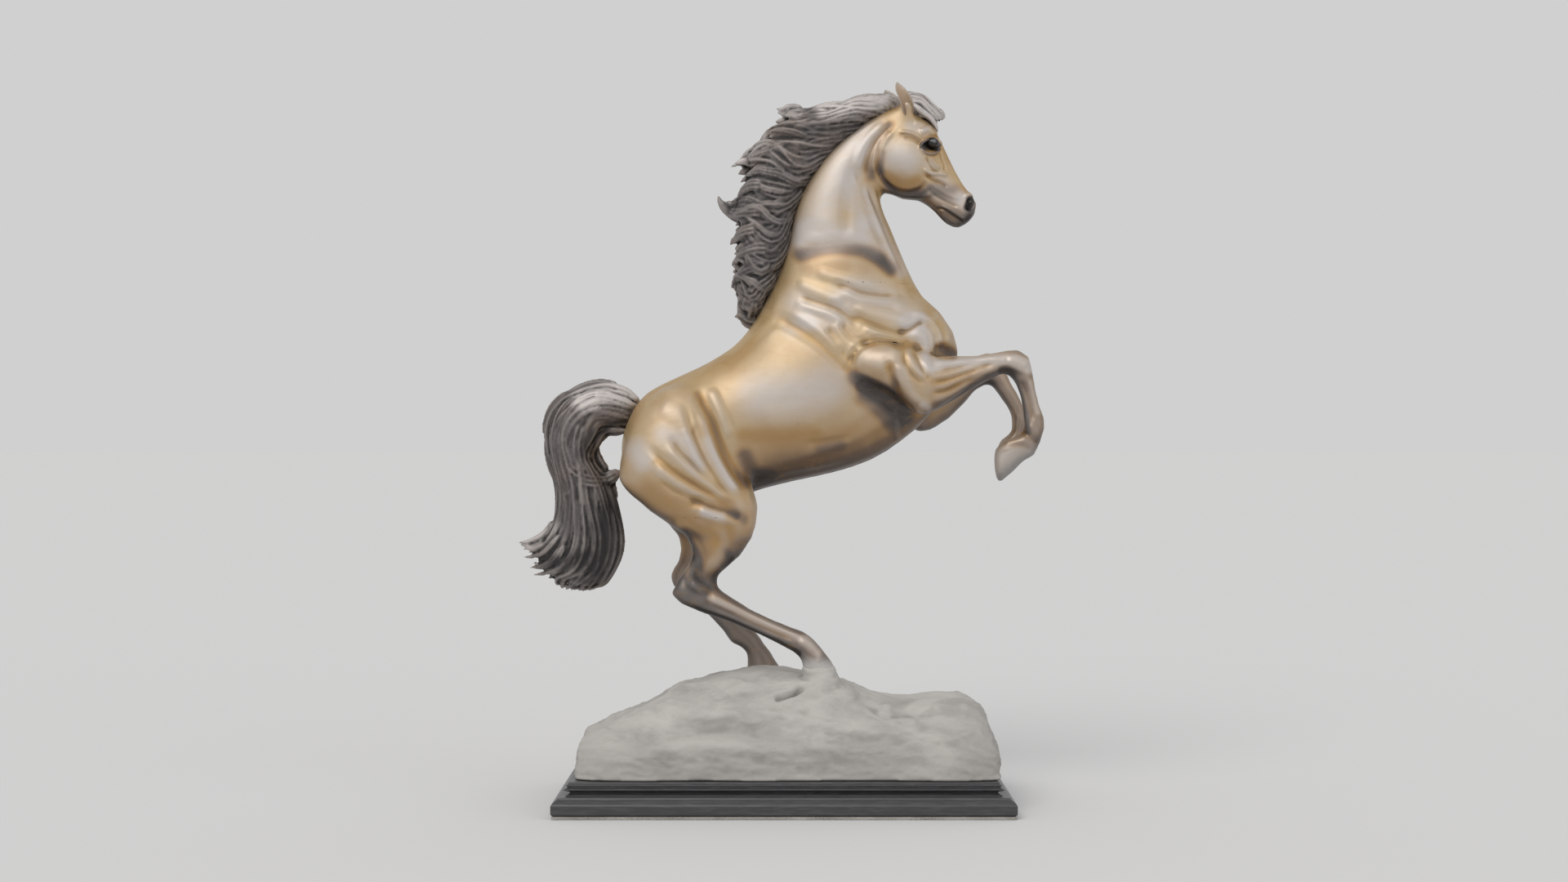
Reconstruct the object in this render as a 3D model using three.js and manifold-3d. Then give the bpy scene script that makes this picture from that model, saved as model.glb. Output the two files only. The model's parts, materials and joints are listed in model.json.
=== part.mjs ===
// A rearing bronze horse on a stone block and a moulded plinth.
// Millimetres, +Z up, +X the way the horse faces, -Y its right side.
// The origin is the middle of the pad's underside.
import * as THREE from 'three';
import { mergeVertices } from 'three/addons/utils/BufferGeometryUtils.js';
import { ParametricGeometry } from 'three/addons/geometries/ParametricGeometry.js';
import Module from 'manifold-3d';

const wasm = await Module();
wasm.setup();

// Driving dimensions
const gap = 0.3;              // clearance between touching pieces
const plinthLength = 370;
const plinthDepth = 190;
const padThickness = 2.5;
const padInset = 0.5;
const slabHeight = 14;
const slabEdgeRound = 2;
const slabSlope = 6;          // how far the slab's top edge leans in
const mouldingHeight = 11;
const mouldingInset = 9;      // from the slab's top edge to the bead
const beadBulge = 3;
const rockHeight = 84.5;      // from the moulding to the rock's crest
const rockMargin = 1;         // ledge left round the rock on the moulding
const rockForward = 3;        // the block stands this far forward of the plinth's middle
const studDiameter = 5;
const studInHoof = 15;
const nutAcross = 8;
const nutHeight = 4;
const studWasherDiameter = 14;
const washerHeight = 1.2;
const pocketClearance = 2;    // room for a socket key round the washer
const screwDiameter = 5;
const screwHeadDiameter = 9;
const screwHeadHeight = 3.2;
const screwWasherDiameter = 12;
const screwInRock = 18;
const screwSpacingX = 250;
const screwSpacingY = 110;
const pinDiameter = 6;
const manePinDiameter = 4;
const eyeDiameter = 10;

// Levels from the floor up
const slabBottom = padThickness + gap;
const slabTop = slabBottom + slabHeight;
const mouldingBottom = slabTop + gap;
const mouldingTop = mouldingBottom + mouldingHeight;
const rockBottom = mouldingTop + gap;
const rockTop = rockBottom + rockHeight;

// The horse is drawn for a crest this high, and rises or falls with the rock
const drawnCrest = 113;
const horseLift = rockTop - drawnCrest;

// Seams of the horse, at drawn heights
const neckSeam = 430;
const gaskinSeam = 238;

const bronze = new THREE.MeshStandardMaterial({ color: 0xb08a58, roughness: 0.42, metalness: 0.6 });
const darkBronze = new THREE.MeshStandardMaterial({ color: 0x5a504a, roughness: 0.55, metalness: 0.5 });
const eyeGlaze = new THREE.MeshStandardMaterial({ color: 0x14110f, roughness: 0.1, metalness: 0 });
const stone = new THREE.MeshStandardMaterial({ color: 0xaaa7a2, roughness: 0.9, metalness: 0 });
const ebonised = new THREE.MeshStandardMaterial({ color: 0x232324, roughness: 0.35, metalness: 0 });
const felt = new THREE.MeshStandardMaterial({ color: 0x9b968c, roughness: 1, metalness: 0 });
const steel = new THREE.MeshStandardMaterial({ color: 0x9a9da1, roughness: 0.35, metalness: 0.9 });

const group = new THREE.Group();

// A closed three.js geometry as a solid, with its faces turned outwards and its skin moved out by grow
function solidOf(geometry, grow = 0) {
  geometry.deleteAttribute('normal');
  geometry.deleteAttribute('uv');
  const merged = mergeVertices(geometry, 1e-4);
  const position = merged.attributes.position;
  const index = merged.index.array;
  const corner = [new THREE.Vector3(), new THREE.Vector3(), new THREE.Vector3()];
  let faces = [];
  let volume = 0;
  for (let i = 0; i < index.length; i += 3) {
    const face = [index[i], index[i + 1], index[i + 2]];
    if (new Set(face).size < 3) continue;
    face.forEach((vertex, k) => corner[k].fromBufferAttribute(position, vertex));
    volume += corner[0].dot(corner[1].clone().cross(corner[2]));
    faces.push(face);
  }
  if (volume < 0) faces = faces.map(([a, b, c]) => [a, c, b]);
  merged.setIndex(faces.flat());
  merged.computeVertexNormals();
  const out = new THREE.Vector3();
  for (let i = 0; i < position.count; i += 1) {
    out.fromBufferAttribute(merged.attributes.normal, i).multiplyScalar(grow);
    position.setXYZ(i, position.getX(i) + out.x, position.getY(i) + out.y, position.getZ(i) + out.z);
  }
  const mesh = new wasm.Mesh({
    numProp: 3,
    vertProperties: new Float32Array(position.array),
    triVerts: new Uint32Array(merged.index.array),
  });
  return new wasm.Manifold(mesh);
}

// A solid as a named mesh of the assembly
function addPiece(name, solid, material) {
  const mesh = solid.getMesh();
  const geometry = new THREE.BufferGeometry();
  geometry.setAttribute('position', new THREE.BufferAttribute(mesh.vertProperties, 3));
  geometry.setIndex(new THREE.BufferAttribute(mesh.triVerts, 1));
  geometry.computeVertexNormals();
  const piece = new THREE.Mesh(geometry, material);
  piece.name = name;
  group.add(piece);
}

function joinAll(solids) {
  return solids.reduce((whole, next) => whole.add(next));
}

// Closed skin through rings of points, drawn to a pole at each end
function skin(rings, poles) {
  const sides = rings[0].length;
  const last = rings.length + 1;
  const surface = (u, v, target) => {
    const row = Math.round(v * last);
    if (row === 0) target.copy(poles[0]);
    else if (row === last) target.copy(poles[1]);
    else target.copy(rings[row - 1][Math.round(u * sides) % sides]);
  };
  return new ParametricGeometry(surface, sides, last);
}

const signedPower = (value, power) => Math.sign(value) * Math.abs(value) ** power;

// Body form through stations [frontX, frontZ, backX, backZ, sideY, halfWidth, egg]: each is a rounded
// section between a front and a back point, and egg widens it towards the front (+) or the back (-).
// grow swells the form evenly, and dome is how far the ends bulge past their last stations.
function form(stations, { sides = 14, steps = 1, grow = 0, square = 2, dome = 1 } = {}) {
  const curve = (pick) => new THREE.CatmullRomCurve3(
    stations.map((row) => new THREE.Vector3(...pick(row))), false, 'catmullrom', 0.5);
  const front = curve(([x, z]) => [x, 0, z]);
  const back = curve(([, , x, z]) => [x, 0, z]);
  const side = curve(([, , , , y, width, egg = 0]) => [y, width, egg]);
  const rows = (stations.length - 1) * steps;
  const middles = [];
  const rings = [];
  for (let row = 0; row <= rows; row += 1) {
    const a = front.getPoint(row / rows);
    const b = back.getPoint(row / rows);
    const [y, width, egg] = side.getPoint(row / rows).toArray();
    const middle = a.clone().add(b).multiplyScalar(0.5).setY(y);
    const reach = a.sub(b).multiplyScalar(0.5);
    const ring = [];
    for (let k = 0; k < sides; k += 1) {
      const angle = (k / sides) * Math.PI * 2;
      const along = signedPower(Math.cos(angle), 2 / square);
      const across = signedPower(Math.sin(angle), 2 / square) * (1 + egg * Math.cos(angle));
      const point = middle.clone().addScaledVector(reach, along);
      point.y += across * width;
      ring.push(point);
    }
    middles.push(middle);
    rings.push(ring);
  }
  const pole = (end, inner) => end.clone().add(end.clone().sub(inner).setLength(dome));
  const poles = [pole(middles[0], middles[1]), pole(middles[rows], middles[rows - 1])];
  const geometry = skin(rings, poles);
  geometry.translate(0, 0, horseLift);
  return solidOf(geometry, grow);
}

// Round bar between two points
function bar(from, to, diameter, sides = 12) {
  const axis = to.clone().sub(from);
  const geometry = new THREE.CylinderGeometry(diameter / 2, diameter / 2, axis.length(), sides);
  const upright = new THREE.Vector3(0, 1, 0);
  const turn = new THREE.Quaternion().setFromUnitVectors(upright, axis.clone().normalize());
  geometry.applyQuaternion(turn);
  geometry.translate(...from.clone().addScaledVector(axis, 0.5).toArray());
  return solidOf(geometry);
}

// Upright tube, disc or prism from one level to another
function upright(x, y, bottom, top, diameter, sides = 16, bore = 0) {
  const low = new THREE.Vector3(x, y, bottom);
  const high = new THREE.Vector3(x, y, top);
  const outer = bar(low, high, diameter, sides);
  if (bore === 0) return outer;
  low.z -= 1;
  high.z += 1;
  return outer.subtract(bar(low, high, bore));
}

// Slab of space between two levels
function levels(bottom, top) {
  const reach = 1000;
  const geometry = new THREE.BoxGeometry(reach, reach, top - bottom);
  geometry.translate(0, 0, (bottom + top) / 2);
  return solidOf(geometry);
}

// Rectangular moulding: a profile of [inset, level] points carried round a rectangle with mitred corners
function moulding(length, depth, profile) {
  const half = Math.min(length, depth) / 2;
  const points = profile.map(([inset, level]) => new THREE.Vector2((half - inset) * Math.SQRT2, level));
  points.unshift(new THREE.Vector2(0, profile[0][1]));
  points.push(new THREE.Vector2(0, profile[profile.length - 1][1]));
  const geometry = new THREE.LatheGeometry(points, 4, Math.PI / 4);
  geometry.rotateX(Math.PI / 2);
  const position = geometry.attributes.position;
  for (let i = 0; i < position.count; i += 1) {
    const x = position.getX(i);
    const y = position.getY(i);
    const onAxis = Math.hypot(x, y) < 1e-3;
    if (onAxis) position.setXY(i, 0, 0);
    else position.setXY(i, x + Math.sign(x) * (length / 2 - half), y + Math.sign(y) * (depth / 2 - half));
  }
  return solidOf(geometry);
}

// ---- Horse ----

// Trunk, croup to breast: top line first, belly second
const trunkStations = [
  [-133, 309, -134, 283, 0, 14],
  [-126, 326, -134, 264, 0, 31],
  [-113, 341, -120, 250, 0, 43],
  [-92, 352, -92, 244, 0, 47],
  [-70, 362, -62, 247, 0, 46],
  [-54, 371, -38, 253, 0, 43],
  [-41, 380, -18, 260, 0, 43],
  [-31, 391, 10, 267, 0, 46, -0.08],
  [-20, 406, 42, 274, 0, 48, -0.1],
  [0, 422, 73, 284.5, 0, 47, -0.08],
  [30, 434, 99, 301, 0, 44],
  [66, 438, 123, 323, 0, 40],
  [104, 428, 140, 352, 0, 31],
  [129, 408, 145, 374, 0, 17],
];

// Neck, withers and breast to the poll: crest first, throat second
const neckStations = [
  [-30, 385, 126, 385, 0, 40],
  [-22, 408, 120, 412, 0, 38],
  [-9, 434, 108, 433, 0, 33],
  [0, 464, 98, 455, 0, 27.5],
  [6, 493, 88, 479, 0, 23.5],
  [18, 520, 81, 498, 0, 21],
  [37, 545, 79, 510, 0, 19],
  [60, 565, 87, 524, 0, 17],
  [80, 577, 98, 538, 0, 14],
];

// Skull, poll to lips: brow and nose first, jaw second
const headStations = [
  [84, 578, 78, 530, 0, 11],
  [96, 579, 76, 513, 0, 16.5],
  [109, 574, 87, 505, 0, 19],
  [120, 567, 100, 502, 0, 19.5, -0.05],
  [127, 558, 112, 500.5, 0, 18.5, -0.08],
  [132, 547, 120, 496, 0, 15.5, -0.08],
  [138, 534, 126, 491, 0, 12.5],
  [144, 522, 131, 485, 0, 11],
  [150, 512, 137, 480, 0, 10.5],
  [156, 506.5, 145, 477.5, 0, 11],
  [160, 498, 153, 482, 0, 9],
];

// Ear, base to tip, for the right side; the left one leans back a little more
const earStations = (tipX, tipZ, side) => [
  [108, 572, 96, 571, side * 10, 4.5],
  [106, 581, 96, 580, side * 11, 4.5],
  [103, 588, 95, 586, side * 11, 3.4],
  [tipX + 2, tipZ - 4, tipX - 2, tipZ - 5, side * 10, 1.6],
  [tipX + 0.5, tipZ, tipX - 0.5, tipZ, side * 10, 0.6],
];

// Right foreleg, point of shoulder to toe: front edge first, rear edge second
const rightForelegStations = [
  [56, 370, 56, 356, -40, 6],
  [62, 377, 60, 350, -40, 11],
  [76, 381, 72, 344, -39, 15.5],
  [92, 381, 88, 337, -38, 17.5],
  [106, 376, 101, 326, -37, 18],
  [118, 371, 113, 321, -36, 17.5],
  [131, 370, 125, 325, -35, 15.5],
  [144, 370, 140, 334, -34, 13.5],
  [157, 370, 155, 343, -33, 11.5],
  [170, 372, 168, 350, -32, 10.5],
  [181, 374, 178, 355, -31, 10.5],
  [192, 375, 185, 354, -30, 11],
  [201, 369, 190, 347, -30, 10.5],
  [204, 356, 193, 340, -30, 8.5],
  [206, 344, 195, 332, -30, 7.2],
  [209, 331, 196, 322, -30, 7.2],
  [213, 320, 196, 314, -30, 8.5],
  [214, 311, 196, 306, -29, 9],
  [210, 298, 190, 304, -29, 8.2],
  [205, 288, 184, 302, -29, 9.2],
  [197, 284, 180, 300, -29, 11],
  [187, 274, 174, 294, -29, 12.5],
  [176, 265, 173, 290, -29, 12.5],
];

const leftForelegStations = [
  [63, 367, 63, 347, 36, 8],
  [78, 375, 74, 337, 36, 14],
  [94, 374, 88, 326, 36, 17],
  [108, 370, 102, 316, 36, 18],
  [120, 368, 115, 307, 35, 17.5],
  [132, 367, 126, 310, 34, 15.5],
  [144, 368, 140, 319, 33, 13.5],
  [156, 370, 153, 332, 32, 11.5],
  [165, 373, 162, 343, 31, 10.5],
  [173, 375, 172, 348, 30, 11],
  [181, 372, 176, 347, 30, 10.5],
  [187, 362, 180, 342, 30, 8.8],
  [192, 350, 185, 335, 30, 7.4],
  [198, 340, 190, 328, 30, 7.4],
  [203, 329, 193, 321, 30, 8.6],
  [205, 320, 193, 314, 29, 9],
  [203, 309, 193, 308, 29, 8],
  [201, 300, 187, 303, 29, 9.2],
  [196, 292, 183, 300, 29, 11],
  [187, 282, 182, 296, 29, 12],
  [183, 276, 181, 292, 29, 12],
];

// Right hind leg, haunch to hoof: front edge first, rear edge second
const rightHindlegStations = [
  [-73, 348, -102, 343, -24, 10],
  [-61, 338, -118, 326, -26, 19],
  [-50, 320, -129, 305, -28, 23],
  [-42, 302, -135, 286, -29, 25],
  [-34, 284, -137, 269, -30, 26],
  [-26, 265, -129, 258, -31, 25],
  [-21, 247, -112, 244, -32, 23],
  [-22, 234, -95, 232, -33, 19.5],
  [-26, 221, -80, 222, -33, 16],
  [-35, 207, -75, 209, -33, 13],
  [-45, 198, -78, 200, -33, 11],
  [-54, 190, -85, 189, -32, 9.5],
  [-55, 182, -93, 175, -32, 9.5],
  [-49, 176, -85, 167, -32, 9.8],
  [-41, 171, -69, 160, -32, 9],
  [-27, 162, -43, 151, -32, 7.5],
  [-10, 154, -21, 142, -32, 7],
  [5, 148, -5, 134, -32, 7.3],
  [16, 144, 8, 127, -32, 8.8],
  [24, 138, 14, 122, -32, 9],
  [31, 130, 15, 116, -32, 8.3],
  [38, 121, 17, 110, -32, 10.5],
  [43, 112, 18, 104, -32, 12.2],
  [48, 100, 18, 97, -32, 13],
];

const leftHindlegStations = [
  [-74, 348, -104, 343, 24, 10],
  [-62, 338, -120, 326, 26, 19],
  [-51, 320, -131, 305, 28, 23],
  [-43, 302, -136, 286, 29, 25],
  [-35, 283, -138, 269, 30, 26],
  [-28, 264, -129, 256, 31, 25],
  [-26, 246, -113, 243, 33, 23],
  [-29, 234, -99, 230, 35, 19.5],
  [-36, 221, -90, 219, 37, 16],
  [-47, 208, -88, 208, 38, 13],
  [-55, 200, -90, 198, 39, 11],
  [-61, 193, -96, 188, 39, 9.5],
  [-62, 186, -96, 179, 38, 9.5],
  [-59, 178, -88, 170, 37, 9.6],
  [-52, 168, -75, 162, 36, 8.8],
  [-43, 155, -61, 149, 35, 7.5],
  [-32, 146, -51, 138, 34, 7.8],
  [-23, 137, -45, 129, 33, 8.8],
  [-17, 128, -37, 126, 32, 8.6],
  [-12, 122, -31, 120, 31, 8.8],
  [-8, 115, -31, 113, 31, 10.5],
  [-3, 108, -31, 106, 31, 12],
  [0, 100, -30, 99, 31, 12.6],
];

// Mane, poll to withers: blown edge first, edge on the neck second
const maneStations = [
  [88, 588, 90, 579, 0, 7],
  [70, 589, 78, 571, 0, 13],
  [50, 583, 62, 558, 0, 18],
  [28, 577, 47, 544, 0, 20],
  [4, 576, 32, 528, 0, 21.5],
  [-14, 556, 20, 511, 0, 22.5],
  [-30, 538, 11, 493, 0, 24],
  [-37, 513, 7, 472, 0, 25.5],
  [-42, 490, 2, 452, 0, 27],
  [-42, 464, -4, 436, 0, 27],
  [-41, 438, -12, 422, 0, 24],
  [-37, 412, -21, 407, 0, 14],
];

const forelockStations = [
  [96, 589, 97, 577, 0, 7],
  [108, 591, 105, 572, 0, 9],
  [119, 586, 114, 567, 0, 10],
  [128, 579, 122, 562, 0, 9],
  [133, 572, 128, 560, 0, 6],
];

// Tail, dock to tips: outer edge first, inner edge second
const tailStations = [
  [-112, 331, -128, 306, 0, 8],
  [-126, 340, -136, 311, 0, 10],
  [-139, 345, -145, 311, 0, 12],
  [-155, 346, -152, 307, 0, 14],
  [-173, 340, -157, 299, 0, 15.5],
  [-188, 328, -160, 290, 0, 17],
  [-196, 306, -159, 281, 0, 17.5],
  [-194, 283, -152, 270, 0, 17.5],
  [-188, 263, -145, 257, 0, 17.5],
  [-188, 244, -139, 240, 0, 17.5],
  [-194, 226, -134, 218, 0, 17],
  [-206, 209, -137, 200, 0, 16],
  [-208, 195, -146, 184, 0, 13],
  [-194, 186, -163, 178, 0, 8],
];

const tailTipStations = [
  [-186, 238, -184, 204, 0, 10],
  [-199, 220, -198, 200, 0, 8],
  [-212, 216, -211, 204, 0, 5],
  [-220, 215, -219, 211, 0, 2],
];

// Wisp of the tail that lies against the croup
const tailWispStations = [
  [-165, 282, -160, 262, 0, 8],
  [-152, 276, -148, 262, 0, 6],
  [-143, 277, -141, 268, 0, 4],
  [-134, 277, -134, 270, 0, 3],
];

const trunk = (grow) => form(trunkStations, { sides: 24, steps: 2, grow, dome: 4 });
const neckForm = (grow) => form(neckStations, { sides: 20, steps: 2, grow });
const haunch = (stations, grow) => form(stations.slice(0, 9), { sides: 16, grow, dome: 3 });
const headForm = (grow) => form(headStations, { sides: 18, grow, dome: 3, square: 2.1 });

const torso = (grow) => joinAll([
  trunk(grow),
  neckForm(grow),
  haunch(rightHindlegStations, grow),
  haunch(leftHindlegStations, grow),
]);

const neckSeamLevel = neckSeam + horseLift;
const gaskinSeamLevel = gaskinSeam + horseLift;
const aboveAll = neckSeamLevel + 500;
const at = (x, y, z) => new THREE.Vector3(x, y, z + horseLift);

const earTips = [[94, 598, -1], [86, 595, 1]];
const ears = (grow) => joinAll(earTips.map((tip) => form(earStations(...tip), { sides: 8, grow })));
const wholeHead = (grow) => headForm(grow).add(ears(grow));
const eyeCentres = { right_eye: at(123, -13.5, 547), left_eye: at(123, 13.5, 547) };

function eyeball(centre, grow) {
  const geometry = new THREE.SphereGeometry(eyeDiameter / 2 + grow, 14, 10);
  geometry.translate(...centre.toArray());
  return solidOf(geometry);
}

const cast = {
  body: torso(0).intersect(levels(gaskinSeamLevel + gap / 2, neckSeamLevel - gap / 2)),
  neck: neckForm(0).add(trunk(0)).intersect(levels(neckSeamLevel + gap / 2, aboveAll))
    .subtract(wholeHead(gap)),
  head: wholeHead(0),
};
for (const [name, centre] of Object.entries(eyeCentres)) {
  cast.head = cast.head.subtract(eyeball(centre, gap));
  addPiece(name, eyeball(centre, 0), eyeGlaze);
}

const trunkCope = trunk(gap).add(neckForm(gap));
const foreleg = (stations) => form(stations, { dome: 2 }).subtract(trunkCope);
const hindleg = (stations) => form(stations.slice(5), { dome: 0.5 })
  .intersect(levels(0, gaskinSeamLevel - gap / 2));
cast.right_foreleg = foreleg(rightForelegStations);
cast.left_foreleg = foreleg(leftForelegStations);
cast.right_hindleg = hindleg(rightHindlegStations);
cast.left_hindleg = hindleg(leftHindlegStations);

const skinCope = torso(gap).add(wholeHead(gap));
const hair = {
  mane: form(maneStations, { sides: 16 }).subtract(skinCope),
  forelock: form(forelockStations, { sides: 12 }).subtract(skinCope),
  tail: joinAll([
    form(tailStations, { sides: 16 }),
    form(tailTipStations, { sides: 10 }),
    form(tailWispStations, { sides: 10 }),
  ]).subtract(skinCope),
};

// Register pins: [name, from, to, diameter, pieces that it joins]
const pins = [
  ['neck_pin_front', at(78, 0, neckSeam - 14), at(78, 0, neckSeam + 14), pinDiameter, ['body', 'neck']],
  ['neck_pin_rear', at(18, 0, neckSeam - 14), at(18, 0, neckSeam + 14), pinDiameter, ['body', 'neck']],
  ['head_pin', at(66, 0, 538), at(98, 0, 548), pinDiameter, ['neck', 'head']],
  ['right_shoulder_pin', at(100, -50, 352), at(100, -30, 352), pinDiameter, ['body', 'right_foreleg']],
  ['left_shoulder_pin', at(100, 50, 350), at(100, 30, 350), pinDiameter, ['body', 'left_foreleg']],
  ['right_gaskin_pin', at(-54, -33, gaskinSeam - 14), at(-60, -32, gaskinSeam + 14), pinDiameter,
    ['body', 'right_hindleg']],
  ['left_gaskin_pin', at(-60, 36, gaskinSeam - 14), at(-66, 33, gaskinSeam + 14), pinDiameter,
    ['body', 'left_hindleg']],
  ['dock_pin', at(-142, 0, 328), at(-118, 0, 318), pinDiameter, ['body', 'tail']],
  ['mane_pin_upper', at(-2, 0, 532), at(20, 0, 515), manePinDiameter, ['mane', 'neck']],
  ['mane_pin_lower', at(-22, 0, 462), at(6, 0, 458), manePinDiameter, ['mane', 'neck']],
];
const pieces = { ...cast, ...hair };
for (const [name, from, to, diameter, joined] of pins) {
  const slack = to.clone().sub(from).setLength(gap);
  const bore = bar(from.clone().sub(slack), to.clone().add(slack), diameter + 2 * gap);
  for (const piece of joined) pieces[piece] = pieces[piece].subtract(bore);
  addPiece(name, bar(from, to, diameter), steel);
}

// ---- Rock ----

// Stations [share of half the length, height share, depth share] from the rear end to the front end
const rockStations = [
  [-1, 0.24, 0.8],
  [-0.985, 0.36, 0.9],
  [-0.93, 0.42, 0.95],
  [-0.85, 0.49, 0.98],
  [-0.75, 0.57, 1],
  [-0.63, 0.7, 1],
  [-0.52, 0.83, 0.98],
  [-0.4, 0.9, 0.97],
  [-0.3, 0.95, 0.98],
  [-0.2, 0.97, 1],
  [-0.1, 1, 1],
  [0, 0.98, 0.99],
  [0.1, 0.94, 0.98],
  [0.2, 0.91, 0.97],
  [0.3, 0.84, 0.96],
  [0.4, 0.74, 0.96],
  [0.55, 0.69, 0.98],
  [0.7, 0.71, 1],
  [0.84, 0.7, 1],
  [0.9, 0.66, 0.98],
  [0.95, 0.58, 0.96],
  [0.985, 0.38, 0.93],
  [1, 0.2, 0.9],
];
const slabTopInset = slabSlope;
const beadInset = slabTopInset + mouldingInset - beadBulge;
const rockInset = beadInset + rockMargin;
const rockHalfLength = plinthLength / 2 - rockInset;
const rockHalfDepth = plinthDepth / 2 - rockInset;
const rockRoundness = 2.7;   // 2 is an ellipse, and more is squarer
const rockSides = 22;

function rockBlock() {
  const rings = rockStations.map(([along, height, depth]) => {
    const ring = [];
    for (let k = 0; k < rockSides; k += 1) {
      const angle = (k / rockSides) * Math.PI * 2;
      const across = signedPower(Math.cos(angle), 2 / rockRoundness) * depth * rockHalfDepth;
      const rise = Math.max(0, signedPower(Math.sin(angle), 2 / rockRoundness)) * height * rockHeight;
      ring.push(new THREE.Vector3(rockForward + along * rockHalfLength, across, rockBottom + rise));
    }
    return ring;
  });
  const pole = (side, height) => new THREE.Vector3(
    rockForward + side * rockHalfLength, 0, rockBottom + (height * rockHeight) / 2);
  const lastHeight = rockStations[rockStations.length - 1][1];
  return solidOf(skin(rings, [pole(-1, rockStations[0][1]), pole(1, lastHeight)]));
}

let rock = rockBlock();
for (const stations of [rightHindlegStations, leftHindlegStations]) {
  rock = rock.subtract(form(stations.slice(5), { dome: 0.5, grow: gap }));
}

// ---- Studs from the hind hooves through the rock, with their washers and nuts in pockets ----

const washerBottom = rockBottom + gap + nutHeight + gap;
const pocketTop = washerBottom + washerHeight + gap;
const studs = [
  { side: 'right', x: 29, y: -32, sole: 99 },
  { side: 'left', x: -18, y: 31, sole: 100 },
];
for (const { side, x, y, sole } of studs) {
  const studTop = sole + studInHoof + horseLift;
  const stud = upright(x, y, rockBottom + gap, studTop, studDiameter, 12);
  const bore = upright(x, y, rockBottom - 1, studTop + gap, studDiameter + 2 * gap, 12);
  const pocket = upright(x, y, rockBottom - 1, pocketTop, studWasherDiameter + 2 * pocketClearance);
  rock = rock.subtract(bore).subtract(pocket);
  pieces[`${side}_hindleg`] = pieces[`${side}_hindleg`].subtract(bore);
  const hole = studDiameter + 2 * gap;
  const nutDiameter = nutAcross / Math.cos(Math.PI / 6);
  addPiece(`${side}_stud`, stud, steel);
  addPiece(`${side}_stud_nut`,
    upright(x, y, rockBottom + gap, rockBottom + gap + nutHeight, nutDiameter, 6, hole), steel);
  addPiece(`${side}_stud_washer`,
    upright(x, y, washerBottom, washerBottom + washerHeight, studWasherDiameter, 16, hole), steel);
}

// ---- Plinth ----

const slabFaceShare = 0.55;   // share of the slab's height that stands upright
const slabBreakShare = 0.8;   // and the height where the slope above turns flatter
const slabBreakInset = 0.4 * slabSlope;
const slabProfile = [
  [slabEdgeRound, slabBottom],
  [0, slabBottom + slabEdgeRound],
  [0, slabBottom + slabHeight * slabFaceShare],
  [slabBreakInset, slabBottom + slabHeight * slabBreakShare],
  [slabTopInset, slabTop],
];
const mouldingLow = slabTopInset + mouldingInset;
const mouldingFoot = 3;
const beadCrown = 1;
const mouldingLevel = { cove: 0.25, beadFoot: 0.42, beadMiddle: 0.6, beadHead: 0.78, fillet: 0.9 };
const mouldingAt = (share) => mouldingBottom + mouldingHeight * share;
const mouldingProfile = [
  [slabTopInset + mouldingFoot, mouldingBottom],
  [mouldingLow, mouldingAt(mouldingLevel.cove)],
  [beadInset, mouldingAt(mouldingLevel.beadFoot)],
  [beadInset - beadCrown, mouldingAt(mouldingLevel.beadMiddle)],
  [beadInset, mouldingAt(mouldingLevel.beadHead)],
  [beadInset + 2 * beadCrown, mouldingAt(mouldingLevel.fillet)],
  [beadInset + 3 * beadCrown, mouldingTop],
];
let slab = moulding(plinthLength, plinthDepth, slabProfile);
let upperMoulding = moulding(plinthLength, plinthDepth, mouldingProfile);

// Screws from below, with their heads and washers in counterbores under the slab
const headBottom = slabBottom + 1;
const headTop = headBottom + screwHeadHeight;
const screwWasherBottom = headTop + gap;
const counterboreTop = screwWasherBottom + washerHeight + gap;
const screwTop = rockBottom + screwInRock;
let screwNumber = 0;
for (const x of [-screwSpacingX / 2, screwSpacingX / 2]) {
  for (const y of [-screwSpacingY / 2, screwSpacingY / 2]) {
    screwNumber += 1;
    const shank = upright(x, y, headTop - 1, screwTop, screwDiameter, 12);
    const screw = upright(x, y, headBottom, headTop, screwHeadDiameter).add(shank);
    const bore = upright(x, y, slabBottom - 1, screwTop + gap, screwDiameter + 2 * gap, 12);
    slab = slab.subtract(bore);
    slab = slab.subtract(upright(x, y, slabBottom - 1, counterboreTop, screwWasherDiameter + 2 * gap));
    upperMoulding = upperMoulding.subtract(bore);
    rock = rock.subtract(bore);
    addPiece(`plinth_screw_${screwNumber}`, screw, steel);
    addPiece(`screw_washer_${screwNumber}`,
      upright(x, y, screwWasherBottom, screwWasherBottom + washerHeight, screwWasherDiameter, 16,
        screwDiameter + 2 * gap), steel);
  }
}

const padLength = plinthLength - 2 * padInset;
const padDepth = plinthDepth - 2 * padInset;
const padShape = new THREE.BoxGeometry(padLength, padDepth, padThickness);
padShape.translate(0, 0, padThickness / 2);

for (const name of Object.keys(cast)) addPiece(name, pieces[name], bronze);
for (const name of Object.keys(hair)) addPiece(name, pieces[name], darkBronze);
addPiece('rock', rock, stone);
addPiece('plinth_moulding', upperMoulding, ebonised);
addPiece('plinth_slab', slab, ebonised);
addPiece('base_pad', solidOf(padShape), felt);

export default group;
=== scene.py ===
import json
import math
import random

import bmesh
import bpy
import numpy as np
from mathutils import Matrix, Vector, noise
from mathutils.bvhtree import BVHTree


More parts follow.
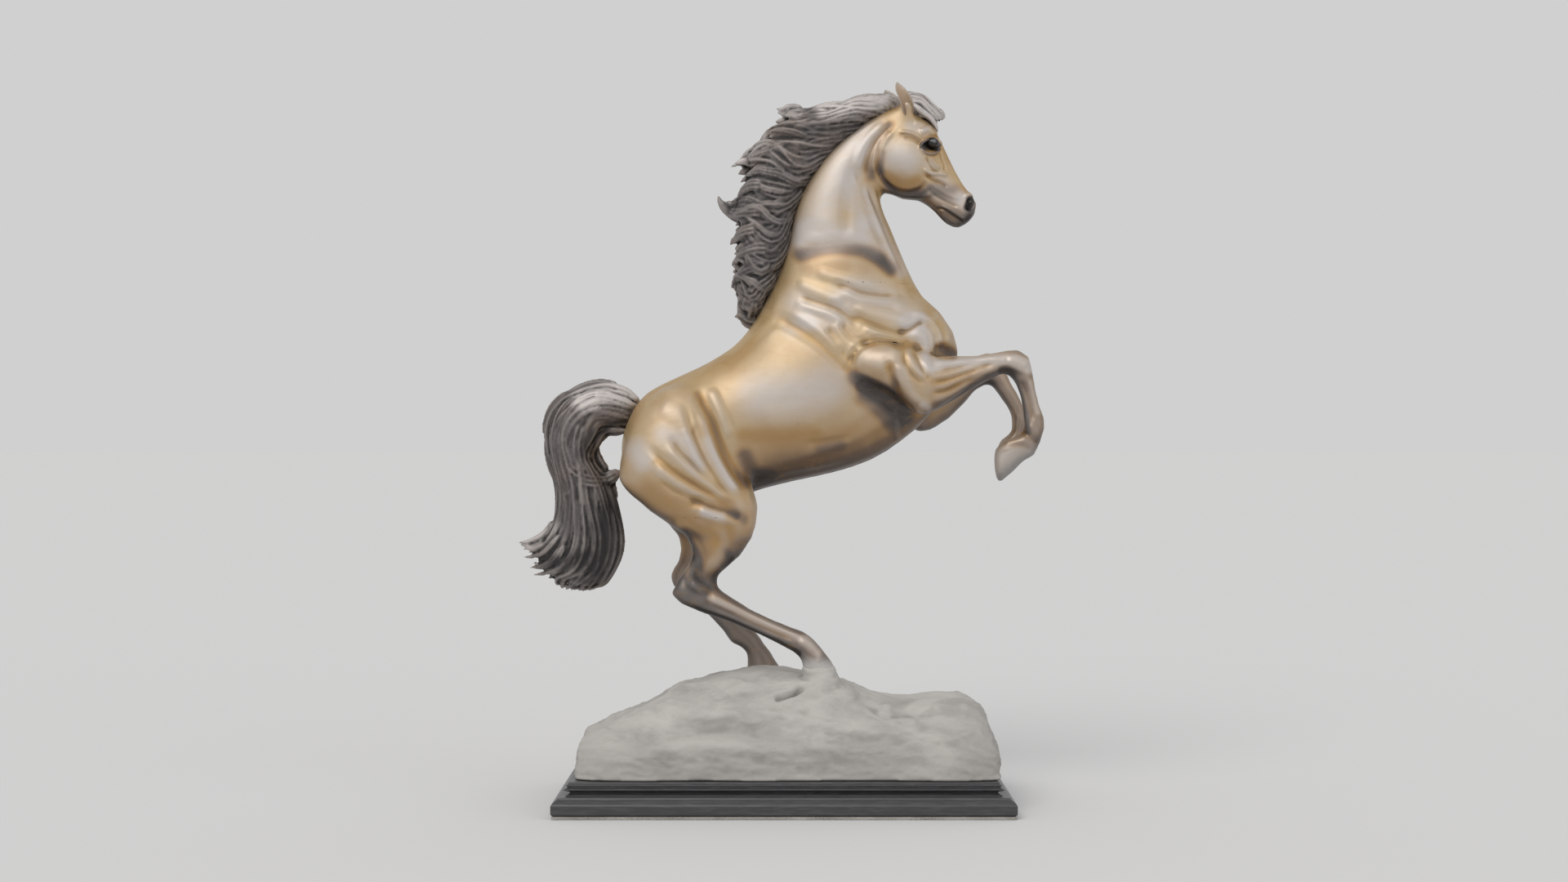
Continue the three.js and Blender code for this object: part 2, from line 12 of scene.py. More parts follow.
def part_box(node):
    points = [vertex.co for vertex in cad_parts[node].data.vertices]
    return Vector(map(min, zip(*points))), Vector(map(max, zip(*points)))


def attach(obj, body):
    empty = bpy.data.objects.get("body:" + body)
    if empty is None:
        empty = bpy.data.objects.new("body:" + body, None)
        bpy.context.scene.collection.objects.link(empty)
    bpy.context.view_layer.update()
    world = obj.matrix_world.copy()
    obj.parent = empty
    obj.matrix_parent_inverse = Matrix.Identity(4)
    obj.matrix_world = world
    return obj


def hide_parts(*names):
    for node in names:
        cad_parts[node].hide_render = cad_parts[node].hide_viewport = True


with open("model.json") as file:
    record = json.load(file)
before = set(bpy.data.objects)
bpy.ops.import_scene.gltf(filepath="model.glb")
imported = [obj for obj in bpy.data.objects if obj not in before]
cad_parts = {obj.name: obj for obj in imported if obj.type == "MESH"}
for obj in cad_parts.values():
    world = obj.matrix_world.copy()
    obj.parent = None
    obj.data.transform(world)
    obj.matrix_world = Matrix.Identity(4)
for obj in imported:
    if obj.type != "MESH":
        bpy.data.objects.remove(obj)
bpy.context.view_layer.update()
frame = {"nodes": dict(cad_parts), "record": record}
nodes = frame["nodes"]
mm = 0.001
drawnCrest = 113                                  # the horse's outlines are drawn for a rock crest this high
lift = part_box("rock")[1][2] - drawnCrest * mm     # and move with the real one
print("frame loaded", len(nodes), "nodes")


def place(x, z, y=0):
    return Vector((x * mm, y * mm, z * mm + lift))


def newObject(name, mesh):
    piece = bpy.data.objects.new(name, mesh)
    bpy.context.scene.collection.objects.link(piece)
    return piece


def finishBmesh(name, bm, recalculate=False):
    if recalculate:
        bmesh.ops.recalc_face_normals(bm, faces=bm.faces)
    mesh = bpy.data.meshes.new(name)
    bm.to_mesh(mesh)
    bm.free()
    return newObject(name, mesh)


def nodesAsBmesh(names):
    bm = bmesh.new()
    for name in names:
        bm.from_mesh(nodes[name].data)
    bmesh.ops.remove_doubles(bm, verts=bm.verts, dist=0.00001)
    return bm


def nodeTree(name):
    bm = nodesAsBmesh([name])
    tree = BVHTree.FromBMesh(bm)
    bm.free()
    return tree


def remeshed(piece, voxel):
    remesh = piece.modifiers.new("remesh", "REMESH")
    remesh.mode = "VOXEL"
    remesh.voxel_size = voxel
    remesh.use_smooth_shade = True
    evaluated = piece.evaluated_get(bpy.context.evaluated_depsgraph_get())
    mesh = bpy.data.meshes.new_from_object(evaluated)
    piece.modifiers.clear()
    old = piece.data
    piece.data = mesh
    bpy.data.meshes.remove(old)
    return piece


def shadeSmooth(piece):
    piece.data.polygons.foreach_set("use_smooth", np.ones(len(piece.data.polygons), dtype=bool))


def keepLargest(piece):
    bm = bmesh.new()
    bm.from_mesh(piece.data)
    bm.verts.ensure_lookup_table()
    seen = set()
    islands = []
    for start in bm.verts:
        if start.index in seen:
            continue
        island = [start]
        seen.add(start.index)
        for vert in island:
            for edge in vert.link_edges:
                other = edge.other_vert(vert)
                if other.index not in seen:
                    seen.add(other.index)
                    island.append(other)
        islands.append(island)
    islands.sort(key=len)
    for island in islands[:-1]:
        bmesh.ops.delete(bm, geom=island, context="VERTS")
    bm.to_mesh(piece.data)
    bm.free()


class Clay:
    # a mesh's points as numbers, for smoothing and sculpting many at once
    def __init__(self, piece):
        self.mesh = piece.data
        count = len(self.mesh.vertices)
        self.points = np.empty(count * 3)
        self.mesh.vertices.foreach_get("co", self.points)
        self.points = self.points.reshape(-1, 3)
        ends = np.empty(len(self.mesh.edges) * 2, dtype=np.int32)
        self.mesh.edges.foreach_get("vertices", ends)
        self.ends = ends.reshape(-1, 2)
        self.start = np.concatenate([self.ends[:, 0], self.ends[:, 1]])
        self.stop = np.concatenate([self.ends[:, 1], self.ends[:, 0]])
        self.degree = np.maximum(np.bincount(self.start, minlength=count), 1)

    def around(self, values):
        if values.ndim == 1:
            return np.bincount(self.start, values[self.stop], len(values)) / self.degree
        return np.stack([self.around(values[:, k]) for k in range(values.shape[1])], axis=1)

    def smooth(self, rounds, weight=None, keepVolume=True):
        for turn in range(rounds * (2 if keepVolume else 1)):
            step = -0.53 if keepVolume and turn % 2 else 0.5
            move = (self.around(self.points) - self.points) * step
            self.points += move if weight is None else move * weight[:, None]

    def normals(self):
        self.store()
        found = np.empty(len(self.points) * 3)
        self.mesh.vertices.foreach_get("normal", found)
        return found.reshape(-1, 3)

    def store(self):
        self.mesh.vertices.foreach_set("co", self.points.ravel())
        self.mesh.update()

    def attribute(self, name, values):
        layer = self.mesh.attributes.get(name) or self.mesh.attributes.new(name, "FLOAT", "POINT")
        layer.data.foreach_set("value", values.astype(np.float32))

    def relief(self, name, rounds, scale):
        # how far each point stands above (+) or below (-) its surroundings, in units of scale metres
        flat = self.points.copy()
        for turn in range(rounds):
            flat = self.around(flat)
        height = np.einsum("ij,ij->i", self.points - flat, self.normals()) / scale
        height = self.around(self.around(height))
        self.attribute(name, np.clip(height, -2, 2))

    def reliefs(self, wanted):
        # wanted: {attribute: (rounds of smoothing, scale in metres)}
        for name, (rounds, scale) in wanted.items():
            self.relief(name, rounds, scale)


def alongStroke(points, route):
    # distance in mm from each point of the side view to a polyline, and how far along it the foot lies
    best = np.full(len(points), 1e9)
    share = np.zeros(len(points))
    corners = np.array(route, dtype=float)
    lengths = np.linalg.norm(np.diff(corners, axis=0), axis=1)
    run = np.concatenate([[0], np.cumsum(lengths)]) / max(lengths.sum(), 1e-6)
    for k, (a, b) in enumerate(zip(corners[:-1], corners[1:])):
        t = np.clip(((points - a) @ (b - a)) / max((b - a) @ (b - a), 1e-9), 0, 1)
        distance = np.linalg.norm(points - a - t[:, None] * (b - a), axis=1)
        closer = distance < best
        best[closer] = distance[closer]
        share[closer] = (run[k] + t * (run[k + 1] - run[k]))[closer]
    return best, share


def softStep(low, high, values):
    t = np.clip((values - low) / (high - low), 0, 1)
    return t * t * (3 - 2 * t)


def curveThrough(points, count):
    # smooth curve through given points, as evenly numbered samples
    knots = np.array(points, dtype=float)
    padded = np.vstack([2 * knots[0] - knots[1], knots, 2 * knots[-1] - knots[-2]])
    samples = []
    for s in np.linspace(0, len(knots) - 1, count):
        k = min(int(s), len(knots) - 2)
        t = s - k
        a, b, c, d = padded[k:k + 4]
        samples.append(0.5 * (2 * b + (c - a) * t + (2 * a - 5 * b + 4 * c - d) * t ** 2
                              + (3 * b - a - 3 * c + d) * t ** 3))
    return np.array(samples)


view = {"distance": 1.817, "height": 0.300, "lens": 50}
camera = bpy.data.cameras.new("camera")
camera.lens = view["lens"]
camera.sensor_width = 36
cameraObject = bpy.data.objects.new("camera", camera)
cameraObject.location = (0, -view["distance"], view["height"])
cameraObject.rotation_euler = (math.radians(90), 0, 0)
bpy.context.scene.collection.objects.link(cameraObject)
bpy.context.scene.camera = cameraObject
bpy.context.scene.view_settings.view_transform = "Standard"


def softSun(name, fromPlace, strength, softness, tint=(1, 1, 1)):
    light = bpy.data.lights.new(name, "SUN")
    light.energy = strength
    light.angle = math.radians(softness)
    light.color = tint
    lamp = bpy.data.objects.new(name, light)
    lamp.location = fromPlace
    lamp.rotation_euler = (-Vector(fromPlace)).to_track_quat("-Z", "Y").to_euler()
    bpy.context.scene.collection.objects.link(lamp)


studio = {"key": 1.3, "fill": 0.25, "sky": 0.63, "floor": 0.685}
softSun("key", (-0.9, -2.0, 2.0), studio["key"], 38, (1, 0.985, 0.96))
softSun("fill", (2.2, -1.4, 0.7), studio["fill"], 50, (0.95, 0.97, 1))

world = bpy.data.worlds.new("studio")
world.use_nodes = True
world.node_tree.nodes["Background"].inputs["Color"].default_value = (1, 1, 1, 1)
world.node_tree.nodes["Background"].inputs["Strength"].default_value = studio["sky"]
bpy.context.scene.world = world

bm = bmesh.new()
bmesh.ops.create_grid(bm, x_segments=2, y_segments=2, size=60)
floor = finishBmesh("floor", bm)
print("stage set")


class Signal:
    # a socket that takes part in Python sums; each sum adds a Math node
    def __init__(self, surface, socket):
        self.surface = surface
        self.socket = socket

    def math(self, operation, first, second):
        return self.surface.node("ShaderNodeMath", {"operation": operation}, {0: first, 1: second})

    def __add__(self, other):
        return self.math("ADD", self, other)

    def __radd__(self, other):
        return self.math("ADD", other, self)

    def __sub__(self, other):
        return self.math("SUBTRACT", self, other)

    def __rsub__(self, other):
        return self.math("SUBTRACT", other, self)

    def __mul__(self, other):
        return self.math("MULTIPLY", self, other)

    def clip(self):
        return self.surface.node("ShaderNodeClamp", {}, {0: self})

    def step(self, low, high):
        inputs = {"Value": self, "From Min": low, "From Max": high}
        return self.surface.node("ShaderNodeMapRange", {"interpolation_type": "SMOOTHSTEP"}, inputs)


class Surface:
    # one material and its nodes
    def __init__(self, name):
        self.material = bpy.data.materials.new(name)
        self.material.use_nodes = True
        self.tree = self.material.node_tree
        self.shader = self.tree.nodes["Principled BSDF"]

    def node(self, kind, settings=None, inputs=None, output=0):
        made = self.tree.nodes.new(kind)
        for key, value in (settings or {}).items():
            setattr(made, key, value)
        for key, value in (inputs or {}).items():
            self.put(made.inputs[key], value)
        return Signal(self, made.outputs[output])

    def put(self, socket, value):
        if isinstance(value, Signal):
            self.tree.links.new(value.socket, socket)
        else:
            socket.default_value = value

    def set(self, values):
        for name, value in values.items():
            self.put(self.shader.inputs[name], value)

    def place(self, scale=(1, 1, 1), turn=(0, 0, 0)):
        where = self.node("ShaderNodeTexCoord", output=3)
        return self.node("ShaderNodeMapping", {}, {"Vector": where, "Scale": scale, "Rotation": turn})

    def noise(self, where, scale, detail=4, roughness=0.55, distortion=0.0):
        inputs = {"Vector": where, "Scale": scale, "Detail": detail, "Roughness": roughness,
                  "Distortion": distortion}
        return self.node("ShaderNodeTexNoise", {}, inputs)

    def mix(self, first, second, factor):
        settings = {"data_type": "RGBA", "blend_type": "MIX"}
        return self.node("ShaderNodeMix", settings, {0: factor, 6: first, 7: second}, output=2)

    def attribute(self, name):
        return self.node("ShaderNodeAttribute", {"attribute_name": name}, output=2)

    def bump(self, height, strength, distance):
        inputs = {"Height": height, "Strength": strength, "Distance": distance}
        self.put(self.shader.inputs["Normal"], self.node("ShaderNodeBump", {}, inputs))


def bronzeSkin():
    tone = {
        "golden": (0.50, 0.355, 0.185, 1),
        "amber": (0.38, 0.215, 0.068, 1),
        "brown": (0.175, 0.105, 0.058, 1),
        "umber": (0.064, 0.054, 0.051, 1),
        "deepShade": (0.020, 0.018, 0.018, 1),
        "pale": (0.525, 0.475, 0.44, 1),
        "violet": (0.21, 0.18, 0.175, 1),
        "dust": (0.40, 0.385, 0.37, 1),
    }
    skin = Surface("bronzeSkin")
    where = skin.place()
    cloud = skin.noise(where, 22, 5, 0.55, 0.5)
    brushed = skin.noise(skin.place(scale=(1, 1, 2.2), turn=(0, 0.6, 0)), 60, 4, 0.6, 0.6)
    grain = skin.noise(where, 420, 3, 0.6)
    broad = skin.attribute("broad")
    fine = skin.attribute("fine")
    pale = skin.attribute("pale")
    dark = skin.attribute("dark")
    dust = skin.attribute("dust")
    colour = skin.mix(tone["golden"], tone["amber"], cloud.step(0.40, 0.66) * 0.55)
    shade = dark + (cloud - 0.5) * 0.35 * dark
    colour = skin.mix(colour, tone["amber"], shade.step(0.02, 0.38) * 0.9)
    colour = skin.mix(colour, tone["brown"], shade.step(0.28, 0.66))
    colour = skin.mix(colour, tone["umber"], shade.step(0.55, 1.0) * 0.94)
    # painted sheen: the pale attribute, streaked by the brushed noise, lighter on raised forms and less in
    # sunken ones, is mixed in as a painted highlight colour
    raised = broad.step(0.1, 1.1) * 0.4
    sunken = broad.step(-0.1, -0.9) * 0.5
    sheen = pale + (brushed - 0.5) * 0.7 * pale + raised - sunken
    colour = skin.mix(colour, tone["pale"], sheen.clip() * (1 - shade.step(0.15, 0.9) * 0.62))
    hollow = (0 - broad).step(0.10, 1.0)
    bare = 1 - shade.step(0.25, 0.7)
    colour = skin.mix(colour, tone["amber"], (hollow * 0.4 + (0 - fine).step(0.1, 1.0) * 0.3) * bare)
    colour = skin.mix(colour, tone["violet"], hollow * 0.22)
    colour = skin.mix(colour, tone["umber"], (0 - fine).step(0.3, 1.8) * 0.35 + hollow * hollow * 0.16)
    # painted deep shade: the darkest tone, where the painted shade runs deepest, as in the nostrils, at the
    # eyelids and under the arm
    colour = skin.mix(colour, tone["deepShade"], shade.step(1.0, 1.9) * 0.85)
    colour = skin.mix(colour, tone["amber"], (brushed - 0.5).step(0.04, 0.2) * (1 - pale.clip()) * 0.22)
    colour = skin.mix(colour, tone["dust"], (dust + (grain - 0.5) * 0.6 * dust).clip())
    skin.set({"Base Color": colour, "Metallic": (0.52 - dust * 0.5 - pale * 0.12).clip(),
              "Roughness": 0.40 + cloud * 0.10 + dust * 0.35 - dark * 0.05})
    skin.bump(grain + brushed * 1.2, 0.10, 0.0004)
    return skin.material


def darkHair():
    tone = {
        "dark": (0.020, 0.018, 0.018, 1),
        "mid": (0.150, 0.134, 0.130, 1),
        "warm": (0.23, 0.175, 0.145, 1),
        "rubbedAndSheen": (0.36, 0.32, 0.30, 1),
        "silver": (0.52, 0.48, 0.46, 1),
    }
    hair = Surface("darkHair")
    where = hair.place()
    cloud = hair.noise(where, 28, 4, 0.6, 0.3)
    strand = hair.noise(hair.place(scale=(1, 1, 3)), 160, 4, 0.7, 0.8)
    broad = hair.attribute("broad")
    fine = hair.attribute("fine")
    dust = hair.attribute("dust")
    dark = hair.attribute("dark")
    base = hair.mix(tone["mid"], tone["warm"], cloud.step(0.45, 0.7) * 0.7)
    colour = hair.mix(tone["dark"], base, (fine * 0.85 + 0.60 + broad * 0.16).clip())
    colour = hair.mix(colour, tone["rubbedAndSheen"], fine.step(0.15, 1.1) * 0.55 + strand.step(0.5, 0.8) * 0.16)
    colour = hair.mix(colour, tone["silver"], (dust * (0.55 + strand * 0.4 + fine * 0.8)).clip())
    colour = hair.mix(colour, tone["dark"], (0 - broad).step(0.2, 1.4) * 0.75)
    # painted shade from the dark attribute
    colour = hair.mix(colour, tone["dark"], (dark * (0.95 - fine * 0.25)).clip() * 0.95)
    hair.set({"Base Color": colour, "Metallic": 0.35, "Roughness": 0.48 + cloud * 0.16})
    hair.bump(strand, 0.15, 0.0004)
    return hair.material


def paleStone():
    tone = {
        "light": (0.50, 0.48, 0.45, 1),
        "grey": (0.37, 0.355, 0.335, 1),
        "shade": (0.22, 0.205, 0.19, 1),
    }
    stone = Surface("paleStone")
    where = stone.place()
    drawn = stone.place(scale=(1, 1, 2.6), turn=(0, 0.12, 0))
    cloud = stone.noise(drawn, 13, 6, 0.6, 0.8)
    speck = stone.noise(where, 420, 4, 0.7)
    vein = stone.noise(drawn, 30, 5, 0.6, 1.2)
    broad = stone.attribute("broad")
    fine = stone.attribute("fine")
    colour = stone.mix(tone["grey"], tone["light"], cloud.step(0.35, 0.66))
    colour = stone.mix(colour, tone["shade"], vein.step(0.56, 0.76) * 0.3)
    hollow = (0 - broad).step(0.2, 1.5) * 0.5 + (0 - fine).step(0.2, 1.2) * 0.3
    colour = stone.mix(colour, tone["shade"], hollow)
    colour = stone.mix(colour, tone["light"], speck.step(0.5, 0.75) * 0.3 + fine.step(0.3, 1.3) * 0.3)
    colour = stone.mix(colour, tone["shade"], stone.attribute("low") * (0.2 + vein * 0.3))
    stone.set({"Base Color": colour, "Roughness": 0.84 + speck * 0.1})
    stone.bump(speck + cloud * 2, 0.3, 0.0006)
    return stone.material


def ebonisedWood():
    wood = Surface("ebonisedWood")
    grain = wood.noise(wood.place(scale=(1, 9, 9)), 60, 4, 0.6, 0.4)
    rub = wood.noise(wood.place(), 55, 5, 0.7, 0.6)
    edgeHighlight = wood.attribute("edgeHighlight")
    colour = wood.mix((0.044, 0.043, 0.046, 1), (0.068, 0.066, 0.070, 1), grain.step(0.4, 0.7))
    # painted highlight lines along the outward ridges of the mouldings
    colour = wood.mix(colour, (0.20, 0.195, 0.19, 1), (edgeHighlight * (0.5 + rub)).step(0.1, 0.8) * 0.8)
    colour = wood.mix(colour, (0.06, 0.058, 0.056, 1), rub.step(0.55, 0.8) * 0.4)
    wood.set({"Base Color": colour, "Roughness": 0.26 + rub * 0.2})
    wood.bump(grain, 0.08, 0.0004)
    return wood.material


def pressedFelt():
    felt = Surface("pressedFelt")
    where = felt.place()
    fluff = felt.noise(where, 900, 5, 0.7)
    patch = felt.noise(where, 40, 3)
    share = (fluff * 0.7 + patch * 0.3).step(0.35, 0.65)
    colour = felt.mix((0.20, 0.185, 0.165, 1), (0.42, 0.40, 0.37, 1), share)
    felt.set({"Base Color": colour, "Roughness": 0.95})
    felt.bump(fluff, 0.5, 0.0006)
    return felt.material


def platedSteel():
    steel = Surface("platedSteel")
    where = steel.place(scale=(1, 1, 6))
    streak = steel.noise(where, 200, 3)
    colour = steel.mix((0.42, 0.42, 0.43, 1), (0.62, 0.62, 0.64, 1), streak.step(0.4, 0.6))
    steel.set({"Base Color": colour, "Metallic": 1.0, "Roughness": 0.28 + streak * 0.15})
    return steel.material


def glossyEye():
    eye = Surface("glossyEye")
    where = eye.place()
    patch = eye.noise(where, 250, 2)
    colour = eye.mix((0.006, 0.005, 0.005, 1), (0.03, 0.018, 0.01, 1), patch.step(0.4, 0.7))
    # painted catch light: the grey-blue reflection spot on the dark eye
    catchLight = eye.attribute("catchLight").step(0.2, 0.8)
    colour = eye.mix(colour, (0.17, 0.18, 0.19, 1), catchLight * (0.5 + patch * 0.5))
    eye.set({"Base Color": colour, "Roughness": 0.06})
    return eye.material


def palePaper():
    paper = Surface("palePaper")
    shade = studio["floor"]
    paper.set({"Base Color": (shade, shade, shade, 1), "Roughness": 1.0, "Specular IOR Level": 0.0})
    return paper.material


finish = {
    "bronze": bronzeSkin(),
    "dark_bronze": darkHair(),
    "stone": paleStone(),
    "ebonised_wood": ebonisedWood(),
    "felt": pressedFelt(),
    "steel": platedSteel(),
    "eye": glossyEye(),
}
floor.data.materials.append(palePaper())
print("materials made")


def dress(piece, slot, *replaced):
    piece.data.materials.clear()
    piece.data.materials.append(finish[slot])
    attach(piece, "root")
    if replaced:
        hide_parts(*replaced)


skinParts = {
    "horse_body": "body",
    "horse_neck": "neck",
    "horse_head": "head",
    "horse_right_foreleg": "right_foreleg",
    "horse_left_foreleg": "left_foreleg",
    "horse_right_hindleg": "right_hindleg",
    "horse_left_hindleg": "left_hindleg",
}
skinCare = {"coarse": 0.0026, "voxel": 0.0012, "swell": 0.0005, "coarseRounds": 24, "rounds": 8, "poll": 583,
            "head": [(70, 470), (170, 600)], "reliefs": {"broad": (60, 0.0014), "fine": (8, 0.00025)}}
trunk = {"route": [(-95, 290), (-60, 310), (0, 335), (40, 375), (42, 440), (42, 500), (66, 550)],
         "samples": 30, "reach": 52, "rounds": 55}


def skinSource():
    # the castings as one closed body; the ears are pressed flat, because they are made on their own
    bm = nodesAsBmesh(skinParts.values())
    poll = place(0, skinCare["poll"]).z
    for vert in bm.verts:
        vert.co.z = min(vert.co.z, poll)
        vert.co += vert.normal * skinCare["swell"]
    return finishBmesh("horse_skin", bm)


def asSeen(points):
    # side-view places in mm, as they appear from the viewing distance; both sides of the horse alike
    nearer = view["distance"] / (view["distance"] - np.abs(points[:, 1]))
    level = view["height"]
    return np.stack([points[:, 0] * nearer, (points[:, 2] - lift - level) * nearer + level], axis=1) / mm


def ironTrunk(clay):
    # takes the facets out of the broad forms and gives back the bulk that smoothing took
    route = curveThrough(trunk["route"], trunk["samples"])
    distance, share = alongStroke(asSeen(clay.points), route)
    weight = 1 - softStep(trunk["reach"] * 0.7, trunk["reach"], distance)
    before = clay.points.copy()
    clay.smooth(trunk["rounds"], weight, keepVolume=False)
    lost = np.einsum("ij,ij->i", before - clay.points, clay.normals())
    for turn in range(trunk["rounds"]):
        lost = clay.around(lost)
    clay.points += clay.normals() * (lost * weight)[:, None]


horse = skinSource()
remeshed(horse, skinCare["coarse"])
keepLargest(horse)
clay = Clay(horse)
clay.points -= clay.normals() * skinCare["swell"]
clay.smooth(skinCare["coarseRounds"])
ironTrunk(clay)
clay.store()
remeshed(horse, skinCare["voxel"])


def refine(piece, low, high):
    # halves the mesh inside a side-view box
    bm = bmesh.new()
    bm.from_mesh(piece.data)
    lowest, highest = place(*low), place(*high)
    edges = []
    for edge in bm.edges:
        middle = (edge.verts[0].co + edge.verts[1].co) / 2
        if lowest.x < middle.x < highest.x and lowest.z < middle.z < highest.z:
            edges.append(edge)
    bmesh.ops.subdivide_edges(bm, edges=edges, cuts=1, use_grid_fill=True)
    bm.to_mesh(piece.data)
    bm.free()


refine(horse, *skinCare["head"])
clay = Clay(horse)
clay.smooth(skinCare["rounds"])
print("horse remeshed", len(clay.points))

right, left, both = -1, 1, 0


class Strokes:
    # rows of [height or amount, reach in mm, [(x, z), ...], side where it is only one] drawn on the side view
    # ends taper off, except where wide patches are painted
    def __init__(self, clay, wide=False):
        self.wide = wide
        self.flat = asSeen(clay.points)
        outward = clay.normals()[:, 1]
        for turn in range(8):
            outward = clay.around(outward)
        self.facing = {
            both: softStep(0.02, 0.35, np.sign(clay.points[:, 1]) * outward),
            right: softStep(0.02, 0.35, -outward) * (clay.points[:, 1] < 0),
            left: softStep(0.02, 0.35, outward) * (clay.points[:, 1] > 0),
        }

    def total(self, rows):
        result = np.zeros(len(self.flat))
        for height, reach, route, *side in rows:
            path = curveThrough(route, 5 * len(route)) if len(route) > 2 else np.array(route, dtype=float)
            low, high = path.min(0) - reach, path.max(0) + reach
            near = np.flatnonzero(np.all((self.flat > low) & (self.flat < high), axis=1))
            distance, share = alongStroke(self.flat[near], path)
            amount = np.clip(1 - (distance / reach) ** 2, 0, 1) ** 2
            if len(route) > 2 and not self.wide:
                amount *= softStep(-0.04, 0.16, share) * softStep(-0.04, 0.16, 1 - share)
            result[near] += height * amount * self.facing[side[0] if side else both][near]
        return result


